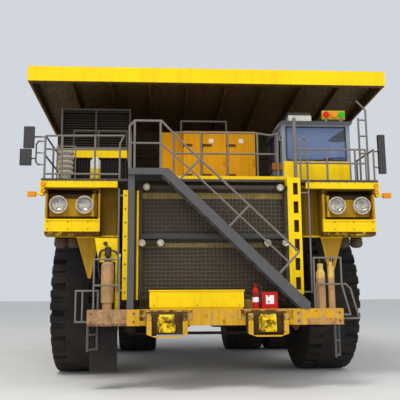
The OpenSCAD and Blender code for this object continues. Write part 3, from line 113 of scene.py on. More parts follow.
# Shader helpers
class Shader:
    """A Principled material built node by node."""

    def __init__(self, name):
        self.material = bpy.data.materials.new(name)
        self.material.use_nodes = True
        self.tree = self.material.node_tree
        self.bsdf = self.tree.nodes["Principled BSDF"]
        self.place = self.node("ShaderNodeTexCoord").outputs["Object"]

    def node(self, kind, **values):
        made = self.tree.nodes.new(kind)
        for key, value in values.items():
            setattr(made, key, value)
        return made

    def link(self, source, target):
        self.tree.links.new(source, target)

    def put(self, value, socket):
        """Gives a socket a number or a colour, or joins an output to it."""
        if isinstance(value, (int, float, tuple)):
            socket.default_value = value
        else:
            self.link(value, socket)

    def noise(self, scale, detail=5.0, roughness=0.6, stretch=(1, 1, 1)):
        mapping = self.node("ShaderNodeMapping")
        mapping.inputs["Scale"].default_value = stretch
        self.link(self.place, mapping.inputs["Vector"])
        noise = self.node("ShaderNodeTexNoise")
        noise.inputs["Scale"].default_value = scale
        noise.inputs["Detail"].default_value = detail
        noise.inputs["Roughness"].default_value = roughness
        self.link(mapping.outputs["Vector"], noise.inputs["Vector"])
        return noise.outputs["Fac"]

    def span(self, value, low, high, to_low=0.0, to_high=1.0):
        made = self.node("ShaderNodeMapRange")
        self.link(value, made.inputs["Value"])
        made.inputs["From Min"].default_value = low
        made.inputs["From Max"].default_value = high
        made.inputs["To Min"].default_value = to_low
        made.inputs["To Max"].default_value = to_high
        return made.outputs["Result"]

    def math(self, operation, first, second=0.0, clamp=True):
        made = self.node("ShaderNodeMath", operation=operation, use_clamp=clamp)
        for socket, value in zip(made.inputs, (first, second)):
            self.put(value, socket)
        return made.outputs["Value"]

    def mix(self, share, first, second, blend="MIX"):
        made = self.node("ShaderNodeMix", data_type="RGBA", blend_type=blend)
        self.put(share, made.inputs["Factor"])
        for name, value in (("A", first), ("B", second)):
            self.put(value, [s for s in made.inputs if s.name == name and s.type == "RGBA"][0])
        return [s for s in made.outputs if s.type == "RGBA"][0]

    def bump(self, height, strength, distance):
        made = self.node("ShaderNodeBump")
        made.inputs["Strength"].default_value = strength
        made.inputs["Distance"].default_value = distance
        self.link(height, made.inputs["Height"])
        self.link(made.outputs["Normal"], self.bsdf.inputs["Normal"])

    def split(self, vector):
        made = self.node("ShaderNodeSeparateXYZ")
        self.link(vector, made.inputs["Vector"])
        return made.outputs

    def lean(self):
        """Height of the face's normal: 1 looks up, -1 down."""
        return self.split(self.node("ShaderNodeNewGeometry").outputs["Normal"])["Z"]

    def up(self):
        """1 on faces that look up, 0 on the rest."""
        return self.span(self.lean(), 0.35, 0.95)

    def height(self, low, high):
        """1 at and below low, 0 at and above high."""
        return self.span(self.split(self.place)["Z"], low, high, 1.0, 0.0)

    def zone(self, low, high, both, soft=EDGE):
        """1 inside a box of the truck's frame and 0 outside; None leaves a side open.
        With both, the box stands on the two sides of the middle plane."""
        axes = self.split(self.place)
        share = None
        for name, least, most in zip("XYZ", low, high):
            value = axes[name]
            if both and name == "X":
                value = self.math("ABSOLUTE", value, clamp=False)
            for edge, ends in ((least, (0.0, 1.0)), (most, (1.0, 0.0))):
                if edge is not None:
                    part = self.span(value, edge - soft, edge + soft, *ends)
                    share = part if share is None else self.math("MULTIPLY", share, part)
        return share

    def tint(self, colour, patches, spots=None, soft=EDGE):
        """Lays the tones of some patches over a colour, one after the other."""
        for tone, low, high, both, worn in patches:
            share = self.zone(low, high, both, soft)
            if worn:
                share = self.math("MULTIPLY", share, self.span(spots, worn - 0.05, worn + 0.05))
            colour = self.mix(share, colour, tone)
        return colour

    def finish(self, colour, roughness, metallic=0.0, coat=0.0, gloss=0.5):
        for name, value in (("Base Color", colour), ("Roughness", roughness),
                            ("Metallic", metallic), ("Coat Weight", coat),
                            ("Specular IOR Level", gloss)):
            self.put(value, self.bsdf.inputs[name])
        return self.material


def patch(tone, low, high, both=True, worn=0.0):
    """A tone inside a box, see Shader.zone; with worn, only on the spots above that level."""
    return tone, low, high, both, worn


def paint(name, base, dust=0.35, streaks=0.35, low=0.0, rust=0.0, patches=(), under=None):
    """Weathered paint: uneven colour, dust on what looks up, dark runs and rust.
    low: share of mud near the ground. under: a tone, and the low and high corner of the box
    in which every face that doesn't look up is that dark: painted shade with grime over it."""
    shader = Shader(name)
    clouds = shader.noise(0.9, 4.0)
    fine = shader.noise(9.0, 6.0, 0.7)
    runs = shader.noise(5.0, 5.0, 0.7, stretch=(1.6, 1.6, 0.14))
    spots = shader.noise(6.0, 8.0, 0.75)
    colour = shader.tint(base, patches, spots)
    colour = shader.mix(shader.span(clouds, 0.3, 0.7, 0.0, 0.3), colour, FADED, "MULTIPLY")
    dirt = shader.math("MULTIPLY", shader.span(runs, 0.5, 0.74), streaks)
    colour = shader.mix(dirt, colour, GRIME)
    if rust:
        share = shader.math("MULTIPLY", shader.span(spots, 0.56, 0.66), rust)
        colour = shader.mix(share, colour, RUST)
    cover = shader.math("MULTIPLY", shader.up(), 0.75 * dust + 0.1)
    speckles = shader.math("MULTIPLY", shader.span(fine, 0.4, 0.75), 0.5 * dust)
    cover = shader.math("ADD", cover, speckles)
    if low:
        below = shader.math("MULTIPLY", shader.height(1.2, 3.2), low)
        mud = shader.math("MULTIPLY", below, shader.span(clouds, 0.2, 0.6))
        cover = shader.math("ADD", cover, mud)
    colour = shader.mix(cover, colour, DUST)
    if under:
        # Painted shade, partly dirt: inside the box, faces that don't look up take the dark tone,
        # with grime runs and caked dust over it
        tone, least, most = under
        turned = shader.span(shader.lean(), 0.05, 0.2, 1.0, 0.0)
        share = shader.math("MULTIPLY", turned, shader.zone(least, most, True))
        shade_and_grime = shader.mix(shader.span(runs, 0.35, 0.7), tone, GRIME)
        shade_and_grime = shader.mix(shader.span(fine, 0.5, 0.8, 0.0, 0.5), shade_and_grime, CAKED_DUST)
        colour = shader.mix(share, colour, shade_and_grime)
    shader.bump(fine, 0.12, 0.004)
    return shader.finish(colour, shader.span(fine, 0.3, 0.8, 0.45, 0.75), gloss=MATT)


def rubber(name, base=RUBBER, dust=0.16):
    """Dusty rubber, paler where dust sits and near the ground."""
    shader = Shader(name)
    clouds = shader.noise(1.6, 5.0, 0.65)
    fine = shader.noise(26.0, 6.0, 0.7)
    colour = shader.mix(shader.span(fine, 0.35, 0.7), base, WORN_RUBBER)
    cover = shader.math("MULTIPLY", shader.span(clouds, 0.42, 0.72), dust)
    low = shader.math("MULTIPLY", shader.height(0.1, 1.5), 0.12)
    cover = shader.math("ADD", cover, low)
    colour = shader.mix(cover, colour, TYRE_DUST)
    shader.bump(fine, 0.25, 0.006)
    return shader.finish(colour, 0.88, gloss=MATT)


def steel(name, base, roughness=0.55, metallic=0.35, dust=0.4, patches=()):
    """Bare or thinly painted steel and cast iron with oily dirt and dust."""
    shader = Shader(name)
    clouds = shader.noise(2.2, 5.0, 0.65)
    fine = shader.noise(22.0, 6.0, 0.7)
    colour = shader.tint(base, patches)
    colour = shader.mix(shader.span(clouds, 0.4, 0.7, 0.0, 0.8), colour, GRIME)
    cover = shader.math("MULTIPLY", shader.span(fine, 0.42, 0.8), dust)
    colour = shader.mix(cover, colour, DUST)
    shader.bump(fine, 0.2, 0.004)
    return shader.finish(colour, shader.span(fine, 0.3, 0.8, roughness, 0.9), metallic=metallic)


def polished(name, base=srgb(186, 188, 190), low=0.14, high=0.34, patches=()):
    """Ground and plated metal; low and high are its least and most roughness."""
    shader = Shader(name)
    fine = shader.noise(40.0, 4.0, 0.6, stretch=(1, 1, 0.1))
    film = shader.noise(7.0, 5.0, 0.7)
    colour = shader.mix(shader.span(film, 0.5, 0.8, 0.0, 0.5), base, METAL_FILM)
    colour = shader.tint(colour, patches, soft=0.02)
    return shader.finish(colour, shader.span(fine, 0.3, 0.8, low, high), metallic=1.0)


def glass(name, tint, clear, film_share, roughness=0.05, film_tone=srgb(150, 152, 148)):
    """Tinted glass with a thin film of dust."""
    shader = Shader(name)
    film = shader.noise(3.0, 5.0, 0.7)
    colour = shader.mix(shader.span(film, 0.45, 0.8, 0.0, film_share), tint, film_tone)
    shader.put(clear, shader.bsdf.inputs["Transmission Weight"])
    shader.put(1.45, shader.bsdf.inputs["IOR"])
    rough = shader.span(film, 0.4, 0.8, roughness, roughness + 0.3)
    return shader.finish(colour, rough, coat=0.3)


def plain(name, base, roughness=0.6, dust=0.3, patches=()):
    """Small parts: even colour with slight dust and wear."""
    shader = Shader(name)
    fine = shader.noise(30.0, 5.0, 0.7)
    colour = shader.tint(base, patches)
    specks = shader.math("MULTIPLY", shader.span(fine, 0.45, 0.8), dust)
    colour = shader.mix(specks, colour, DUST)
    shader.bump(fine, 0.1, 0.002)
    return shader.finish(colour, roughness)


# One finish for each slot of the record
MATERIALS = {
    "frame_paint": paint("frame_paint", OCHRE, dust=0.5, streaks=0.5, low=0.4, rust=0.3),
    "bumper_paint": paint(
        "bumper_paint", srgb(176, 142, 98), dust=0.35, streaks=0.45, rust=0.8, patches=(
            # What is left of the yellow on the face, then the bare left and right ends
            patch(BRIGHT, (-1.86, None, None), (2.68, -7.4, 1.66), False, 0.44),
            patch(BRICK, (1.9, None, None), (2.68, -7.4, 1.45), False, 0.47),
            patch(srgb(158, 120, 86), (-2.69, None, None), (-1.86, -7.3, 1.66), False, 0.47),
            patch(srgb(108, 76, 50), (-2.69, None, 1.3), (-1.86, -7.3, 1.37), False, 0.42),
            # Dirt over the tow blocks, painted shade in their recess and its bright lower lip
            patch(DARK_DIRT_AND_SHADE, (0.5, None, 1.42), (1.6, -7.45, 1.64), worn=0.5),
            patch(srgb(74, 52, 24), (0.6, -7.79, 1.12), (1.47, -7.5, 1.6)),
            patch(BRIGHT, (0.5, None, 1.05), (1.6, -7.7, 1.165)))),
    "yellow_paint": paint(
        "yellow_paint", YELLOW, dust=0.05, streaks=0.22, rust=0.12, patches=(
            # Amber marker at the deck's outer end
            patch(srgb(226, 140, 18), (3.93, None, 4.12), (4.2, -6.7, 4.32)),
            # Recess of the lamps: painted shade on the back, a painted shadow at the top, painted
            # shade on the rims at both sides and above
            patch(srgb(178, 134, 16), (2.72, -6.7, 3.6), (3.85, None, 4.32)),
            patch(srgb(64, 46, 14), (2.72, -6.822, 4.1), (3.85, None, 4.32)),
            patch(SHADED_LAMP_RIM, (2.5, None, 3.64), (2.57, -6.6, 4.335)),
            patch(SHADED_LAMP_RIM, (3.685, None, 3.64), (3.76, -6.6, 4.335)),
            patch(srgb(84, 60, 14), (2.5, None, 4.2), (3.76, -6.6, 4.335)),
            # Painted shade on the panel beside a lamp box; the box's lower edge and its braces
            patch(SHADED_OCHRE, (2.06, -6.72, 3.3), (2.67, None, 4.42)),
            patch(srgb(92, 66, 20), (2.5, None, 3.22), (3.75, -6.5, 3.345), worn=0.42),
            patch(srgb(186, 142, 40), (2.58, -6.9, 2.2), (3.1, -6.0, 3.24)),
            # Orange block beside the cab
            patch(srgb(150, 84, 20), (1.4, -6.32, 4.86), (1.74, -6.1, 5.06), False),
            # Grimy tow plates, and painted shade on the posts' faces that turn away from the light
            patch(srgb(104, 78, 24), (0.8, -7.9, 1.1), (1.3, -7.4, 1.6), worn=0.5),
            patch(DARK_DIRT_AND_SHADE, (-1.79, None, 1.8), (-1.69, -7.02, 4.24), False),
            patch(DARK_DIRT_AND_SHADE, (1.69, -7.05, 1.9), (1.93, -6.84, 4.5), False)),
        # Painted shade with dirt under the canopy: its faces that don't look up are dark brown
        under=(UNDERSIDE, (None, -6.305, 6.5), (4.336, None, None))),
    "cabinet_paint": paint("cabinet_paint", AMBER, dust=0.02, streaks=0.2, patches=(
        # Lower and upper hinges
        patch(HINGE_BROWN, (None, None, 4.84), (None, -5.41, 5.0), False),
        patch(HINGE_BROWN, (None, None, 5.61), (None, -5.41, 5.77), False))),
    "bed_paint": paint("bed_paint", BED_YELLOW, dust=0.4, streaks=0.14, rust=0.35, patches=(
        # Worn inside, and painted shade on the walls' front edges
        patch(WORN_BED, (None, None, None), (4.27, None, None)),
        patch(srgb(70, 52, 28), (4.2, None, None), (None, -2.0, None))),
        # Painted shade with dirt on the bed's faces that don't look up
        under=(UNDERSIDE, (None, -2.3, 3.3), (4.2, None, None))),
    "dark_steel": steel("dark_steel", DARK_STEEL),
    "engine": steel("engine", srgb(120, 96, 40)),
    "core": steel("core", srgb(30, 26, 20), metallic=0.0, dust=0.2, patches=(
        # Painted bars that show through the wire
        patch(srgb(176, 146, 66), (None, None, 4.07), (None, None, 4.2), False),
        patch(srgb(150, 126, 70), (None, None, 2.99), (None, None, 3.07), False))),
    "grille_paint": paint("grille_paint", srgb(60, 54, 46), dust=0.2, streaks=0.35, patches=(
        # Rail between the panels of wire, and the lamp brackets
        patch(srgb(60, 62, 66), (None, -7.09, 3.15), (None, -6.9, 3.28), False),
        patch(srgb(26, 24, 22), (None, None, 1.8), (None, -7.095, 4.4), False))),
    "red_paint": paint("red_paint", srgb(188, 24, 20), dust=0.08, streaks=0.12),
    "step_steel": paint("step_steel", STEEL_BLUE, dust=0.14, streaks=0.3, rust=0.1),
    "rail_paint": paint("rail_paint", RAIL_GREY, dust=0.12, streaks=0.25, rust=0.1, patches=(
        # Painted shade on the frame of the grid box
        patch(DECK_GREY, (-3.6, -6.2, 5.44), (-1.9, None, None), False),)),
    "flap": rubber("flap", srgb(20, 21, 23), 0.05),
    "deck_paint": paint("deck_paint", DECK_GREY, dust=0.4, streaks=0.3),
    "lamp": plain("lamp", srgb(184, 172, 158), 0.4, 0.25),
    "black_paint": paint("black_paint", srgb(26, 24, 23), dust=0.06, streaks=0.1),
    "cab_paint": paint("cab_paint", CAB_GREY, dust=0.15, streaks=0.25, patches=(
        # Cooler on the roof with its pale band, and the eave over the windscreen
        patch(srgb(60, 60, 58), (2.0, -6.0, 6.09), (2.6, -4.9, 6.5), False),
        patch(srgb(206, 204, 194), (2.0, -6.0, 6.2), (2.6, -4.9, 6.36), False),
        patch(srgb(62, 64, 68), (1.6, None, 6.02), (3.6, -6.2, 6.085), False),
        # Box of the roof's signal lamps: red, orange and green
        patch(srgb(196, 168, 40), (2.82, -6.02, 6.23), (3.41, -5.89, 6.47), False),
        patch(srgb(214, 30, 16), (2.83, -6.06, 6.2), (3.01, -6.01, 6.45), False),
        patch(srgb(240, 138, 20), (3.03, -6.06, 6.2), (3.2, -6.01, 6.45), False),
        patch(srgb(40, 176, 36), (3.22, -6.06, 6.2), (3.4, -6.01, 6.45), False))),
    "window": glass("window", srgb(136, 156, 204), 0.6, 0.25),
    "interior": plain("interior", srgb(34, 34, 36), 0.8),
    "tyre": rubber("tyre"),
    "rim_paint": paint("rim_paint", srgb(206, 164, 36), dust=0.4, streaks=0.3, low=0.35, rust=0.3),
    "rod_steel": polished("rod_steel"),
    "mirror_black": plain("mirror_black", srgb(26, 27, 30), 0.5, 0.15, patches=(
        # Arms of the mirrors
        patch(srgb(112, 110, 106), (3.8, None, 4.6), (3.87, None, 5.8)),)),
}

# Finishes that three nodes have to themselves, in place of their slot's
ROLE = {
    "bumper_bottles": paint(
        "bottle_paint", srgb(188, 146, 98), dust=0.3, streaks=0.4, rust=0.3, patches=(
            # Caps on the right of the bumper, shoulders on its left
            patch(srgb(50, 46, 42), (-2.45, None, 2.64), (-2.1, None, 3.1), False),
            patch(srgb(222, 184, 96), (2.1, None, 2.3), (2.7, None, 2.7), False),
            # On the deck: bottle in yellow and white, and the ribbed stack
            patch(YELLOW, (-2.9, -6.5, 4.5), (-2.5, -6.1, 4.86), False),
            patch(WHITE, (-2.9, -6.5, 4.86), (-2.5, -6.1, 5.2), False),
            patch(srgb(176, 170, 158), (-3.6, -6.6, 4.5), (-3.1, -6.2, 5.4), False))),
    # Air cleaners: painted shade on their bottoms
    "air_cleaners": paint(
        "cleaner_paint", srgb(104, 74, 40), dust=0.2, streaks=0.6,
        under=(srgb(48, 36, 24), (None, None, 3.0), (4.2, None, 3.3))),
    # Bed's front wall: painted shade with dirt on every face that doesn't look up
    "bed_front": paint(
        "bed_front_paint", WORN_BED, dust=0.3, streaks=0.2, rust=0.35,
        under=(srgb(78, 60, 34), (None, -2.3, 2.9), (4.4, None, None))),
}

# Finishes of pieces that are made here
CUP_PAINT = paint("cup_paint", srgb(84, 70, 58), dust=0.2, streaks=0.5)
REFLECTOR = polished("reflector", srgb(226, 216, 204), 0.12, 0.3, patches=(
    # Painted reflection of the recess's dark top in the bowls' upper part
    patch(srgb(34, 31, 31), (2.6, None, 4.0), (3.7, None, 4.12)),))
LENS = glass("lens", srgb(240, 236, 226), 0.88, 0.35, 0.08, srgb(220, 212, 196))
AMBER_LENS = plain("amber_lens", srgb(204, 108, 12), 0.4, 0.1)
BLACK = plain("black_rubber", srgb(24, 24, 25), dust=0.2)
# Painted reflection on the windscreen's upper corner
REFLECTION_SHEET = plain("painted_reflection_sheet", srgb(44, 48, 58), 0.3, 0.15)
LABEL = plain("blank_label", srgb(226, 214, 196), dust=0.15)
WHITE_LABEL = plain("white_label", srgb(232, 228, 222), dust=0.1)
WIRE = paint("wire_paint", srgb(98, 84, 70), dust=0.25, streaks=0.4, patches=(
    # In front of the painted bars
    patch(srgb(156, 140, 92), (None, None, 4.06), (None, None, 4.21), False),
    patch(srgb(140, 124, 84), (None, None, 2.98), (None, None, 3.08), False)))
BOLT_STEEL = steel("bolt_steel", srgb(116, 98, 66), 0.5, 0.5)

for row in frame["record"]["subparts"]:
    node = NODES[row["node"]]
    node.data.materials.clear()
    node.data.materials.append(ROLE.get(row["node"], MATERIALS[row["material_slot"]]))


# Mesh building
def side_axes(axis):
    """Two directions square to an axis."""
    helper = Vector((0, 0, 1)) if abs(axis.z) < 0.9 else Vector((1, 0, 0))
    first = axis.cross(helper).normalized()
    return first, axis.cross(first)


def spline(points, steps):
    """Points of a smooth curve through the given ones."""
    ends = [points[0] * 2 - points[1]] + points + [points[-1] * 2 - points[-2]]
    curve = []
    for a, b, c, d in zip(ends, ends[1:], ends[2:], ends[3:]):
        for i in range(steps):
            t = i / steps
            curve.append(0.5 * (2 * b + (c - a) * t + (2 * a - 5 * b + 4 * c - d) * t ** 2
                                + (3 * b - a - 3 * c + d) * t ** 3))
    return curve + [points[-1]]


class Form:
    """One piece, put together in the truck's frame and then given a finish and a body."""

    def __init__(self):
        self.bm = bmesh.new()

    def ring(self, middle, sides, radius, steps):
        if radius < 1e-6:
            return [self.bm.verts.new(middle)]
        first, second = sides
        made = []
        for i in range(steps):
            turn = math.tau * i / steps
            arm = first * math.cos(turn) + second * math.sin(turn)
            made.append(self.bm.verts.new(middle + arm * radius))
        return made

    def skin(self, rings, steps, closed=False):
        pairs = list(zip(rings, rings[1:])) + ([(rings[-1], rings[0])] if closed else [])
        for first, second in pairs:
            for i in range(steps):
                j = (i + 1) % steps
                corners = [first[i % len(first)], first[j % len(first)],
                           second[j % len(second)], second[i % len(second)]]
                corners = list(dict.fromkeys(corners))
                if len(corners) > 2:
                    self.bm.faces.new(corners)

    def lathe(self, place, axis, points, steps=32, closed=False):
        """Turned shape from (radius, distance along the axis) points."""
        axis = Vector(axis).normalized()
        sides = side_axes(axis)
        rings = []
        for radius, along in points:
            rings.append(self.ring(Vector(place) + axis * along, sides, radius, steps))
        self.skin(rings, steps, closed)

    def box(self, low, high, bevel):
        made = bmesh.ops.create_cube(self.bm, size=1.0)["verts"]
        for vert in made:
            vert.co = Vector([lo + (c + 0.5) * (hi - lo) for c, lo, hi in zip(vert.co, low, high)])
        edges = list({edge for vert in made for edge in vert.link_edges})
        bmesh.ops.bevel(self.bm, geom=edges, offset=bevel, segments=2, profile=0.6,
                        affect="EDGES")

    def plate(self, outline, low, high):
        """Flat shape between two planes square to y; the outline gives x and z."""
        rows = [[self.bm.verts.new((x, y, z)) for x, z in outline] for y in (low, high)]
        self.bm.faces.new(rows[0][::-1])
        self.bm.faces.new(rows[1])
        self.skin(rows, len(outline))

    def tube(self, points, radius, steps=10, rounds=0):
        """Round bar along points; with rounds, along a smooth curve through them."""
        points = [Vector(p) for p in points]
        if rounds:
            points = spline(points, rounds)
        rings = []
        first = None
        for i, point in enumerate(points):
            along = points[min(i + 1, len(points) - 1)] - points[max(i - 1, 0)]
            along.normalize()
            if first is None:
                first = side_axes(along)[0]
            first = (first - along * first.dot(along)).normalized()
            rings.append(self.ring(point, (first, along.cross(first)), radius, steps))
        self.skin(rings, steps)
        self.bm.faces.new(rings[0][::-1])
        self.bm.faces.new(rings[-1])

    def bolt(self, place, axis, size):
        """Hexagon head on a washer."""
        washer = ((0, -0.2), (0.7, -0.2), (0.7, 0.12), (0, 0.12))
        head = ((0, 0.0), (0.52, 0.0), (0.52, 0.4), (0.42, 0.52), (0, 0.52))
        for profile, steps in ((washer, 12), (head, 6)):
            self.lathe(place, axis, [(r * size, along * size) for r, along in profile], steps)

    def bolt_ring(self, place, axis, radius, count, size):
        axis = Vector(axis)
        sides = side_axes(axis)
        for i in range(count):
            turn = math.tau * (i + 0.5) / count
            arm = (sides[0] * math.cos(turn) + sides[1] * math.sin(turn)) * radius
            self.bolt(Vector(place) + arm, axis, size)

    def make(self, name, material, body="chassis", stands_for=None, angle=35):
        """Ends the piece; edges sharper than the angle, in degrees, stay sharp."""
        bmesh.ops.recalc_face_normals(self.bm, faces=self.bm.faces[:])
        mesh = bpy.data.meshes.new(name)
        self.bm.to_mesh(mesh)
        self.bm.free()
        mesh.polygons.foreach_set("use_smooth", [True] * len(mesh.polygons))
        mesh.set_sharp_from_angle(angle=math.radians(angle))
        mesh.materials.append(material)
        made = bpy.data.objects.new(name, mesh)
        bpy.context.scene.collection.objects.link(made)
        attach(made, body)
        if stands_for:
            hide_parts(stands_for)


FORWARD = (0, -1, 0)
REARWARD = (0, 1, 0)
UPWARD = (0, 0, 1)

# Tyres: radius and distance across of half the section, then those of the groove's floor there
TYRE_SECTION = (
    (0.801, 0.530, 0.801, 0.530),
    (0.815, 0.572, 0.815, 0.572),
    (0.860, 0.604, 0.860, 0.604),
    (0.895, 0.596, 0.895, 0.596),
    (0.915, 0.618, 0.915, 0.618),
    (1.050, 0.650, 1.050, 0.650),
    (1.062, 0.664, 1.062, 0.664),
    (1.100, 0.667, 1.100, 0.667),
    (1.112, 0.658, 1.112, 0.658),
    (1.250, 0.668, 1.250, 0.668),
    (1.400, 0.666, 1.400, 0.664),
    (1.412, 0.6725, 1.412, 0.668),
    (1.450, 0.6725, 1.450, 0.660),
    (1.462, 0.664, 1.462, 0.648),
    (1.580, 0.664, 1.580, 0.634),
    (1.700, 0.662, 1.690, 0.626),
    (1.770, 0.652, 1.738, 0.612),
    (1.825, 0.628, 1.745, 0.590),
    (1.848, 0.596, 1.745, 0.560),
    (WHEEL_R, 0.450, 1.745, 0.440),
    (WHEEL_R, 0.303, 1.752, 0.318),
    (WHEEL_R, 0.280, WHEEL_R, 0.280),
    (WHEEL_R, 0.120, WHEEL_R, 0.120),
)
# Depth of a shallow notch, as a share of a deep one
MINOR_DEPTH = 0.5
PITCHES = 36
# Degrees from the middle of a notch, and whether the surface is sunk there
PITCH_STEPS = ((-2.5, 0), (-2.15, 1), (2.15, 1), (2.5, 0), (5.0, 0))
TREAD_ANGLE = 28


def tyre_form(form, x, y, side):
    """Lugs along both shoulders; a deep notch of one faces a shallow one of the other."""
    columns = []
    for i in range(PITCHES):
        for offset, sunk in PITCH_STEPS:
            turn = math.radians(360 / PITCHES * i + offset)
            column = []
            for flank in SIDES:
                share = sunk * (1.0 if (i % 2 == 0) == (flank * side > 0) else MINOR_DEPTH)
                row = []
                for radius, across, floor_r, floor_x in TYRE_SECTION:
                    r = radius + (floor_r - radius) * share
                    w = across + (floor_x - across) * share
                    place = (x + flank * w, y + r * math.sin(turn), WHEEL_R - r * math.cos(turn))
                    row.append(form.bm.verts.new(place))
                column += row if flank > 0 else row[::-1]
            columns.append(column)
    for first, second in zip(columns, columns[1:] + columns[:1]):
        for i in range(len(first)):
            j = (i + 1) % len(first)
            form.bm.faces.new((first[i], second[i], second[j], first[j]))


# Place along and the middles of one side's tyres, names of body and tyre without the side
AXLES = {
    "front": (AXLE_Y, (FRONT_X,), "wheel_front_", "tyre_front_"),
    "rear": (REAR_Y, (INNER_X, OUTER_X), "wheels_rear_", "tyres_rear_"),
}
# Rings of bolts (place across, ring radius, count, size); profile and steps of the hub's cap
HUBS = {
    "front": (((FRONT_X + 0.162, 0.66, 24, 0.05), (FRONT_X + 0.47, 0.185, 10, 0.035)),
              [(0, -0.01), (0.1, -0.01), (0.1, 0.03), (0.08, 0.045), (0, 0.045)], 24),
    "rear": (((OUTER_X + 0.054, 0.66, 32, 0.05), (OUTER_X + 0.34, 0.4, 20, 0.04)),
             [(0, -0.01), (0.16, -0.01), (0.16, 0.02), (0.13, 0.03), (0, 0.03)], 32),
}
for side, name in zip(SIDES, ("left", "right")):
    out = (side, 0, 0)
    for axle, (y, middles, body, tyre) in AXLES.items():
        form = Form()
        for x in middles:
            tyre_form(form, side * x, y, side)
        form.make("tyre_tread_" + axle + "_" + name, MATERIALS["tyre"], body + name,
                  tyre + name, TREAD_ANGLE)
    for axle, (y, middles, body, tyre) in AXLES.items():
        rings, cap, steps = HUBS[axle]
        form = Form()
        for across, radius, count, size in rings:
            form.bolt_ring((side * across, y, WHEEL_R), out, radius, count, size)
        # The cap stands in the middle of the last ring
        form.lathe((side * across, y, WHEEL_R), out, cap, steps)
        form.make("wheel_bolts_" + axle + "_" + name, BOLT_STEEL, body + name)


# Lamps stand for the plain ones of the CAD. Profiles: radius, distance behind the front plane
HEAD = {
    "can": [(0.17, 0.022), (0.176, 0.006), (0.190, 0.0), (0.203, 0.008), (0.205, 0.024),
            (0.205, 0.070), (0.180, 0.100), (0.150, 0.138), (0, 0.138), (0, 0.128),
            (0.14, 0.128), (0.17, 0.09)],
    "bowl": [(0.171, 0.030), (0.150, 0.062), (0.110, 0.092), (0.060, 0.110), (0.028, 0.114),
             (0.028, 0.076), (0.018, 0.066), (0, 0.066), (0, 0.12), (0.06, 0.118),
             (0.114, 0.098), (0.158, 0.064)],
    "lens": [(0, 0.006), (0.08, 0.009), (0.14, 0.016), (0.172, 0.028), (0.172, 0.033),
             (0.14, 0.022), (0.08, 0.015), (0, 0.012)],
    "steps": 40,
}
SMALL = {
    "can": [(0.060, 0.010), (0.063, 0.002), (0.070, 0.0), (0.075, 0.006), (0.075, 0.060),
            (0.030, 0.099), (0, 0.099), (0, 0.092), (0.028, 0.092), (0.060, 0.05)],
    "bowl": [(0.061, 0.014), (0.050, 0.032), (0.028, 0.046), (0.012, 0.050), (0.012, 0.034),
             (0, 0.030), (0, 0.054), (0.030, 0.052), (0.054, 0.036)],
    "lens": [(0, 0.003), (0.04, 0.006), (0.061, 0.012), (0.061, 0.015), (0.04, 0.010),
             (0, 0.007)],
    "steps": 24,
}
HEAD_Y = -6.7983
HEAD_Z = 3.95
SMALL_Y = -7.1993
LAMPS = [(HEAD, side * x, HEAD_Y, HEAD_Z) for x in (2.87, 3.45) for side in SIDES]
LAMPS += [(SMALL, side * x, SMALL_Y, z)
          for x, z in ((1.17, 3.06), (1.57, 3.06), (1.48, 4.29)) for side in SIDES]
# Upright ribs inside a head lamp's lens: pitch, half height of the tallest, thickness,
# and how far behind the front plane their middle and ends are
RIB_PITCH = 0.04
RIB_REACH = 0.15
RIB_R = 0.004
RIB_MIDDLE = 0.011
RIB_END = 0.02

cans, bowls, lenses, screws = Form(), Form(), Form(), Form()
for kind, x, y, z in LAMPS:
    cans.lathe((x, y, z), REARWARD, kind["can"], kind["steps"], True)
    bowls.lathe((x, y, z), REARWARD, kind["bowl"], kind["steps"], True)
    lenses.lathe((x, y, z), REARWARD, kind["lens"], kind["steps"])
    if kind is HEAD:
        for i in range(-3, 4):
            rib_x = x + RIB_PITCH * i
            reach = math.sqrt(RIB_REACH ** 2 - (RIB_PITCH * i) ** 2)
            lenses.tube([(rib_x, y + RIB_END, z - reach), (rib_x, y + RIB_MIDDLE, z),
                         (rib_x, y + RIB_END, z + reach)], RIB_R, 6, 4)
        screws.bolt_ring((x, y + 0.001, z), FORWARD, 0.191, 4, 0.016)
cans.make("lamp_cans", MATERIALS["lamp"], stands_for="lamps")
bowls.make("lamp_reflectors", REFLECTOR)
lenses.make("lamp_lenses", LENS)
screws.make("lamp_screws", BOLT_STEEL)

# Round side markers beside the lamp boxes
MARKER_X = 3.78
MARKER_Y = -6.86
MARKER_RING = [(0.026, 0.006), (0.030, 0.0), (0.046, 0.0), (0.050, 0.006), (0.050, 0.03),
               (0.026, 0.03)]
MARKER_CENTRE = [(0, 0.008), (0.020, 0.010), (0.026, 0.014), (0.026, 0.03), (0, 0.03)]
amber, centres = Form(), Form()
for side in SIDES:
    for z in (4.255, 4.405):
        amber.lathe((side * MARKER_X, MARKER_Y, z), REARWARD, MARKER_RING, 24, True)
        centres.lathe((side * MARKER_X, MARKER_Y, z), REARWARD, MARKER_CENTRE, 20)
amber.make("marker_rings", AMBER_LENS)
centres.make("marker_centres", MATERIALS["yellow_paint"])


# Grille: frame, lamp brackets and woven wire stand for the plain perforated plates of the CAD
def wave(points, shift):
    """Points of a wire that passes in front of and behind its neighbours."""
    made = []
    for i, point in enumerate(points):
        place = Vector(point)
        place[1] += WIRE_R * 0.8 * (1 if (i + shift) % 2 else -1)
        made.append(place)
    return made


GRILLE_X = 1.66
GRILLE_LOW = 1.85
GRILLE_TOP = 4.35
GRILLE_RIM = 0.08
GRILLE_BACK = -6.96
WIRE_Y = -6.944
WIRE_R = 0.0075
COLUMNS = 36
# Lowest and highest edge of each panel of wire, and its rows
PANELS = ((1.93, 3.16, 14), (3.27, 4.26, 11))
# Brackets of the small lamps: nearest and farthest place across, lowest and highest edge
BRACKETS = ((1.09, 1.65, 3.0, 3.12), (1.38, 1.66, 4.24, 4.34))

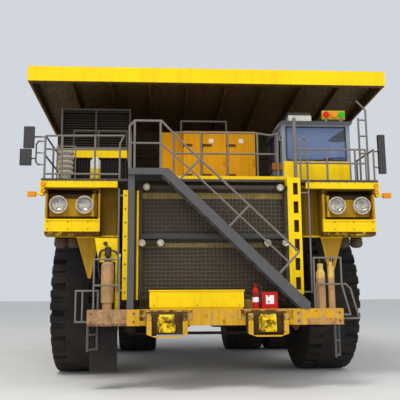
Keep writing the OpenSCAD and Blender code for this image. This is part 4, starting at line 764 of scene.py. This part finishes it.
grille, wires = Form(), Form()
inner_x = GRILLE_X - GRILLE_RIM
edges = [GRILLE_LOW] + [z for panel in PANELS for z in panel[:2]] + [GRILLE_TOP]
for low, high in zip(edges[::2], edges[1::2]):
    grille.box((-GRILLE_X, GRILLE_Y, low), (GRILLE_X, GRILLE_BACK, high), 0.008)
for side in SIDES:
    for low, high, rows in PANELS:
        ends = sorted((side * inner_x, side * GRILLE_X))
        grille.box((ends[0], GRILLE_Y, low), (ends[1], GRILLE_BACK, high), 0.004)
    for least, most, low, high in BRACKETS:
        ends = sorted((side * least, side * most))
        grille.box((ends[0], BRACKET_Y, low), (ends[1], GRILLE_Y + 0.001, high), 0.005)
        for x in (least + 0.03, most - 0.03):
            grille.bolt((side * x, BRACKET_Y, high - 0.03), FORWARD, 0.014)
for low, high, rows in PANELS:
    pitch_x = 2 * inner_x / COLUMNS
    pitch_z = (high - low) / rows
    for i in range(COLUMNS + 1):
        x = -inner_x + pitch_x * i
        line = [(x, WIRE_Y, low + pitch_z * j) for j in range(rows + 1)]
        wires.tube(wave(line, i), WIRE_R, 6, 2)
    for j in range(rows + 1):
        z = low + pitch_z * j
        line = [(-inner_x + pitch_x * i, WIRE_Y, z) for i in range(COLUMNS + 1)]
        wires.tube(wave(line, j + 1), WIRE_R, 6, 2)
grille.make("grille_frame", MATERIALS["grille_paint"], stands_for="grille")
wires.make("grille_wire", WIRE)


# Bolt heads of both sides' fronts: size, plane, places across and heights
BOLT_GRIDS = (
    (0.022, LAMP_BOX_Y, (2.78, 3.22, 3.66), (3.4, 3.56)),
    (0.022, GRILLE_Y, (1.63,), [1.98 + 0.28 * i for i in range(9)]),
    (0.014, LAMP_BOX_Y, [2.3 + 0.2 * i for i in range(8)], (4.46,)),
    (0.034, BUMPER_Y, (1.72, 2.6), (1.4, 1.57)),
    (0.026, TOW_Y, (0.93, 1.16), (1.22, 1.34)),
)
front = Form()
for side in SIDES:
    for size, y, places, heights in BOLT_GRIDS:
        for x in places:
            for z in heights:
                front.bolt((side * x, y, z), FORWARD, size)
for x in (-1.3, -0.4, 0.5):
    front.bolt((x, LOCKER_Y, 1.73), FORWARD, 0.02)
front.make("front_bolts", BOLT_STEEL)


# Blank plates where the real truck carries markings: red box, extinguisher, cabinet doors
BOTTLE_X = 0.85
BOTTLE_Y = -7.36
labels = Form()
labels.box((1.05, BOX_PLATE_Y, 1.75), (1.22, BOX_PLATE_Y + 0.003, 1.93), 0.0012)
labels.lathe((BOTTLE_X, BOTTLE_Y, 1.79), UPWARD,
             [(0.066, 0.0), (0.0722, 0.0), (0.0722, 0.1), (0.066, 0.1)], 32, True)
labels.make("white_labels", WHITE_LABEL)
for door, x in (("cabinet_door_2", 0.05), ("cabinet_door_3", 0.81)):
    form = Form()
    form.box((x, DOOR_PLATE_Y, 5.75), (x + 0.12, DOOR_PLATE_Y + 0.0035, 5.86), 0.0015)
    for screw_x in (x + 0.012, x + 0.108):
        form.bolt((screw_x, DOOR_PLATE_Y, 5.845), FORWARD, 0.006)
    form.make("label_" + door, LABEL, door)


# Extinguisher fittings: lever, hose, bracket, and two clips on the red box's plate
fit = Form()
fit.tube([(BOTTLE_X, -7.395, 2.15), (BOTTLE_X, -7.44, 2.165), (BOTTLE_X, -7.47, 2.15)],
         0.012, 10, 3)
fit.tube([(0.885, BOTTLE_Y, 2.14), (0.955, -7.38, 2.12), (0.965, -7.40, 1.98),
          (0.935, -7.42, 1.8), (0.93, -7.42, 1.72)], 0.014, 10, 6)
fit.box((0.765, -7.45, 1.95), (0.935, -7.27, 1.975), 0.006)
for z in (1.78, 1.9):
    fit.box((1.09, BOX_PLATE_Y - 0.0045, z), (1.125, BOX_PLATE_Y, z + 0.03), 0.002)
fit.make("extinguisher_fittings", BLACK)


# Dust cups with their clamps under the air cleaners: radius and height of the profile
CUP_Y = -6.202
CUP = [(0, 3.026), (0.05, 3.028), (0.11, 3.045), (0.142, 3.085), (0.148, 3.12), (0.148, 3.16),
       (0.138, 3.175), (0.138, 3.2), (0.148, 3.206), (0.148, 3.226), (0.138, 3.232),
       (0.1, 3.24), (0, 3.24)]
CLAMP_LOW = 3.206
CLAMP_TOP = 3.226
cups = Form()
for side in SIDES:
    # Where the CAD's air cleaners stand
    for x in (2.8, 3.16, 3.46):
        cups.lathe((side * x, CUP_Y, 0), UPWARD, CUP, 28)
        cups.box((side * x - 0.02, -6.37, CLAMP_LOW), (side * x + 0.02, -6.345, CLAMP_TOP), 0.003)
cups.make("dust_cups", CUP_PAINT)


# Radius and route of the bottles' short pipes, and of the hoses along the left post
PIPES = (
    (0.022, [(-2.34, -7.2, 2.92), (-2.46, -7.16, 2.86), (-2.5, -7.1, 2.6), (-2.46, -7.04, 2.3)]),
    (0.018, [(-2.24, -7.2, 2.9), (-2.12, -7.14, 2.86), (-2.06, -7.095, 2.7),
             (-2.06, -7.085, 2.4)]),
    (0.018, [(2.29, -7.25, 2.59), (2.29, -7.2, 2.7), (2.4, -7.12, 2.72), (2.5, -7.0, 2.6),
             (2.52, -6.9, 2.3), (2.5, -6.7, 2.05)]),
    (0.018, [(2.52, -7.25, 2.63), (2.54, -7.2, 2.74), (2.62, -7.1, 2.7), (2.64, -6.9, 2.5),
             (2.6, -6.66, 2.2)]),
)
# From the frame to the foot of each hoist cylinder
HOIST_HOSE = ((0.7, -1.05, 1.62), (0.95, -0.9, 1.5), (1.065, -0.86, 1.42))
HOIST_HOSE_R = 0.03
pipes = Form()
for radius, route in PIPES:
    pipes.tube(route, radius, 10, 6)
for side in SIDES:
    pipes.tube([(side * x, y, z) for x, y, z in HOIST_HOSE], HOIST_HOSE_R, 10, 6)
pipes.make("pipes", BLACK)


# Rubber seals round the cab's panes: axis across the pane, its plane, its ends the other way
PANE_LOW = 5.12
PANE_TOP = 5.94
SEAL_R = 0.014
SEALS = (
    ("y", SCREEN_Y, 1.84, 3.29),
    ("y", -4.398, 2.04, 3.09),
    ("x", 3.402, -6.18, -5.49),
    ("x", 1.728, -5.37, -4.54),
)
seals = Form()
for axis, plane, low, high in SEALS:
    corners = [(low, PANE_LOW), (high, PANE_LOW), (high, PANE_TOP), (low, PANE_TOP)]
    for first, second in zip(corners, corners[1:] + corners[:1]):
        ends = []
        for u, z in (first, second):
            ends.append((u, plane, z) if axis == "y" else (plane, u, z))
        seals.tube(ends, SEAL_R, 8)
seals.make("window_seals", BLACK)

# Wiper parked along the windscreen's bottom: knob, arm and blade
wiper = Form()
wiper.lathe((2.56, -6.3, 5.075), FORWARD,
            [(0, -0.01), (0.03, -0.01), (0.03, 0.02), (0.02, 0.03), (0, 0.03)], 16)
wiper.tube([(2.56, -6.322, 5.075), (2.8, -6.332, 5.13), (3.0, -6.322, 5.17)], 0.009, 8, 3)
wiper.tube([(2.74, -6.314, 5.155), (3.0, -6.316, 5.17), (3.24, -6.314, 5.185)], 0.011, 8, 3)
wiper.make("wiper", BLACK)

# Dark sheet in the windscreen's upper corner, in the thickness of the pane: a painted reflection
FILM_FRONT = -6.2838
FILM_BACK = -6.2823
film = Form()
film.plate([(2.85, 5.61), (2.96, 5.7), (3.07, 5.77), (3.22, 5.86), (3.28, 5.88), (3.28, 5.6),
            (3.16, 5.575), (3.03, 5.57), (2.9, 5.585)], FILM_FRONT, FILM_BACK)
film.make("painted_reflection_sheet", REFLECTION_SHEET)


# Floor, light and camera
def make_floor():
    size = 400.0
    mesh = bpy.data.meshes.new("floor")
    corners = [(-size, -size, 0), (size, -size, 0), (size, size, 0), (-size, size, 0)]
    mesh.from_pydata(corners, [], [(0, 1, 2, 3)])
    floor = bpy.data.objects.new("floor", mesh)
    bpy.context.scene.collection.objects.link(floor)
    shader = Shader("floor")
    clouds = shader.span(shader.noise(0.4, 6.0, 0.6), 0.3, 0.7)
    tone = shader.mix(clouds, srgb(214, 212, 208), srgb(222, 220, 216))
    floor.data.materials.append(shader.finish(tone, 0.9))


def make_world():
    world = bpy.data.worlds.new("studio")
    bpy.context.scene.world = world
    world.use_nodes = True
    background = world.node_tree.nodes["Background"]
    background.inputs["Color"].default_value = srgb(228, 233, 240)
    background.inputs["Strength"].default_value = 0.83


def area_light(name, place, target, size, power, colour=(1, 1, 1)):
    data = bpy.data.lights.new(name, "AREA")
    data.shape = "SQUARE"
    data.size = size
    data.energy = power
    data.color = colour
    light = bpy.data.objects.new(name, data)
    bpy.context.scene.collection.objects.link(light)
    light.location = place
    aim = Vector(target) - Vector(place)
    light.rotation_euler = aim.to_track_quat("-Z", "Y").to_euler()


def make_camera():
    """The photograph's own viewpoint, from a fit of measured points."""
    eye = (-1.238, -17.015 + AXLE_Y, 1.89)
    yaw, pitch, roll = (math.radians(a) for a in (3.491, 9.635, -0.319))
    focal_px = 611.4
    frame_px = 400
    middle_px = (194.44, 193.79)
    data = bpy.data.cameras.new("camera")
    data.sensor_width = 36.0
    data.lens = focal_px / frame_px * data.sensor_width
    data.shift_x = (frame_px / 2 - middle_px[0]) / frame_px
    data.shift_y = (middle_px[1] - frame_px / 2) / frame_px
    data.clip_end = 2000
    camera = bpy.data.objects.new("camera", data)
    bpy.context.scene.collection.objects.link(camera)
    forward = Vector((math.sin(yaw) * math.cos(pitch), math.cos(yaw) * math.cos(pitch),
                      math.sin(pitch)))
    level = Vector((math.cos(yaw), -math.sin(yaw), 0))
    upward = level.cross(forward)
    right = level * math.cos(roll) + upward * math.sin(roll)
    up = upward * math.cos(roll) - level * math.sin(roll)
    turn = Matrix((right, up, -forward)).transposed().to_4x4()
    camera.matrix_world = Matrix.Translation(eye) @ turn
    bpy.context.scene.camera = camera


make_floor()
make_world()
area_light("key", (-9, -21, 27), (0, -2, 3), 10, 5200, (1.0, 0.98, 0.95))
area_light("fill", (18, -20, 12), (0, -3, 3), 16, 1300, (0.93, 0.96, 1.0))
area_light("low", (0, -34, 9), (0, -3, 2.5), 14, 1000)
make_camera()
bpy.context.scene.view_settings.view_transform = "Standard"
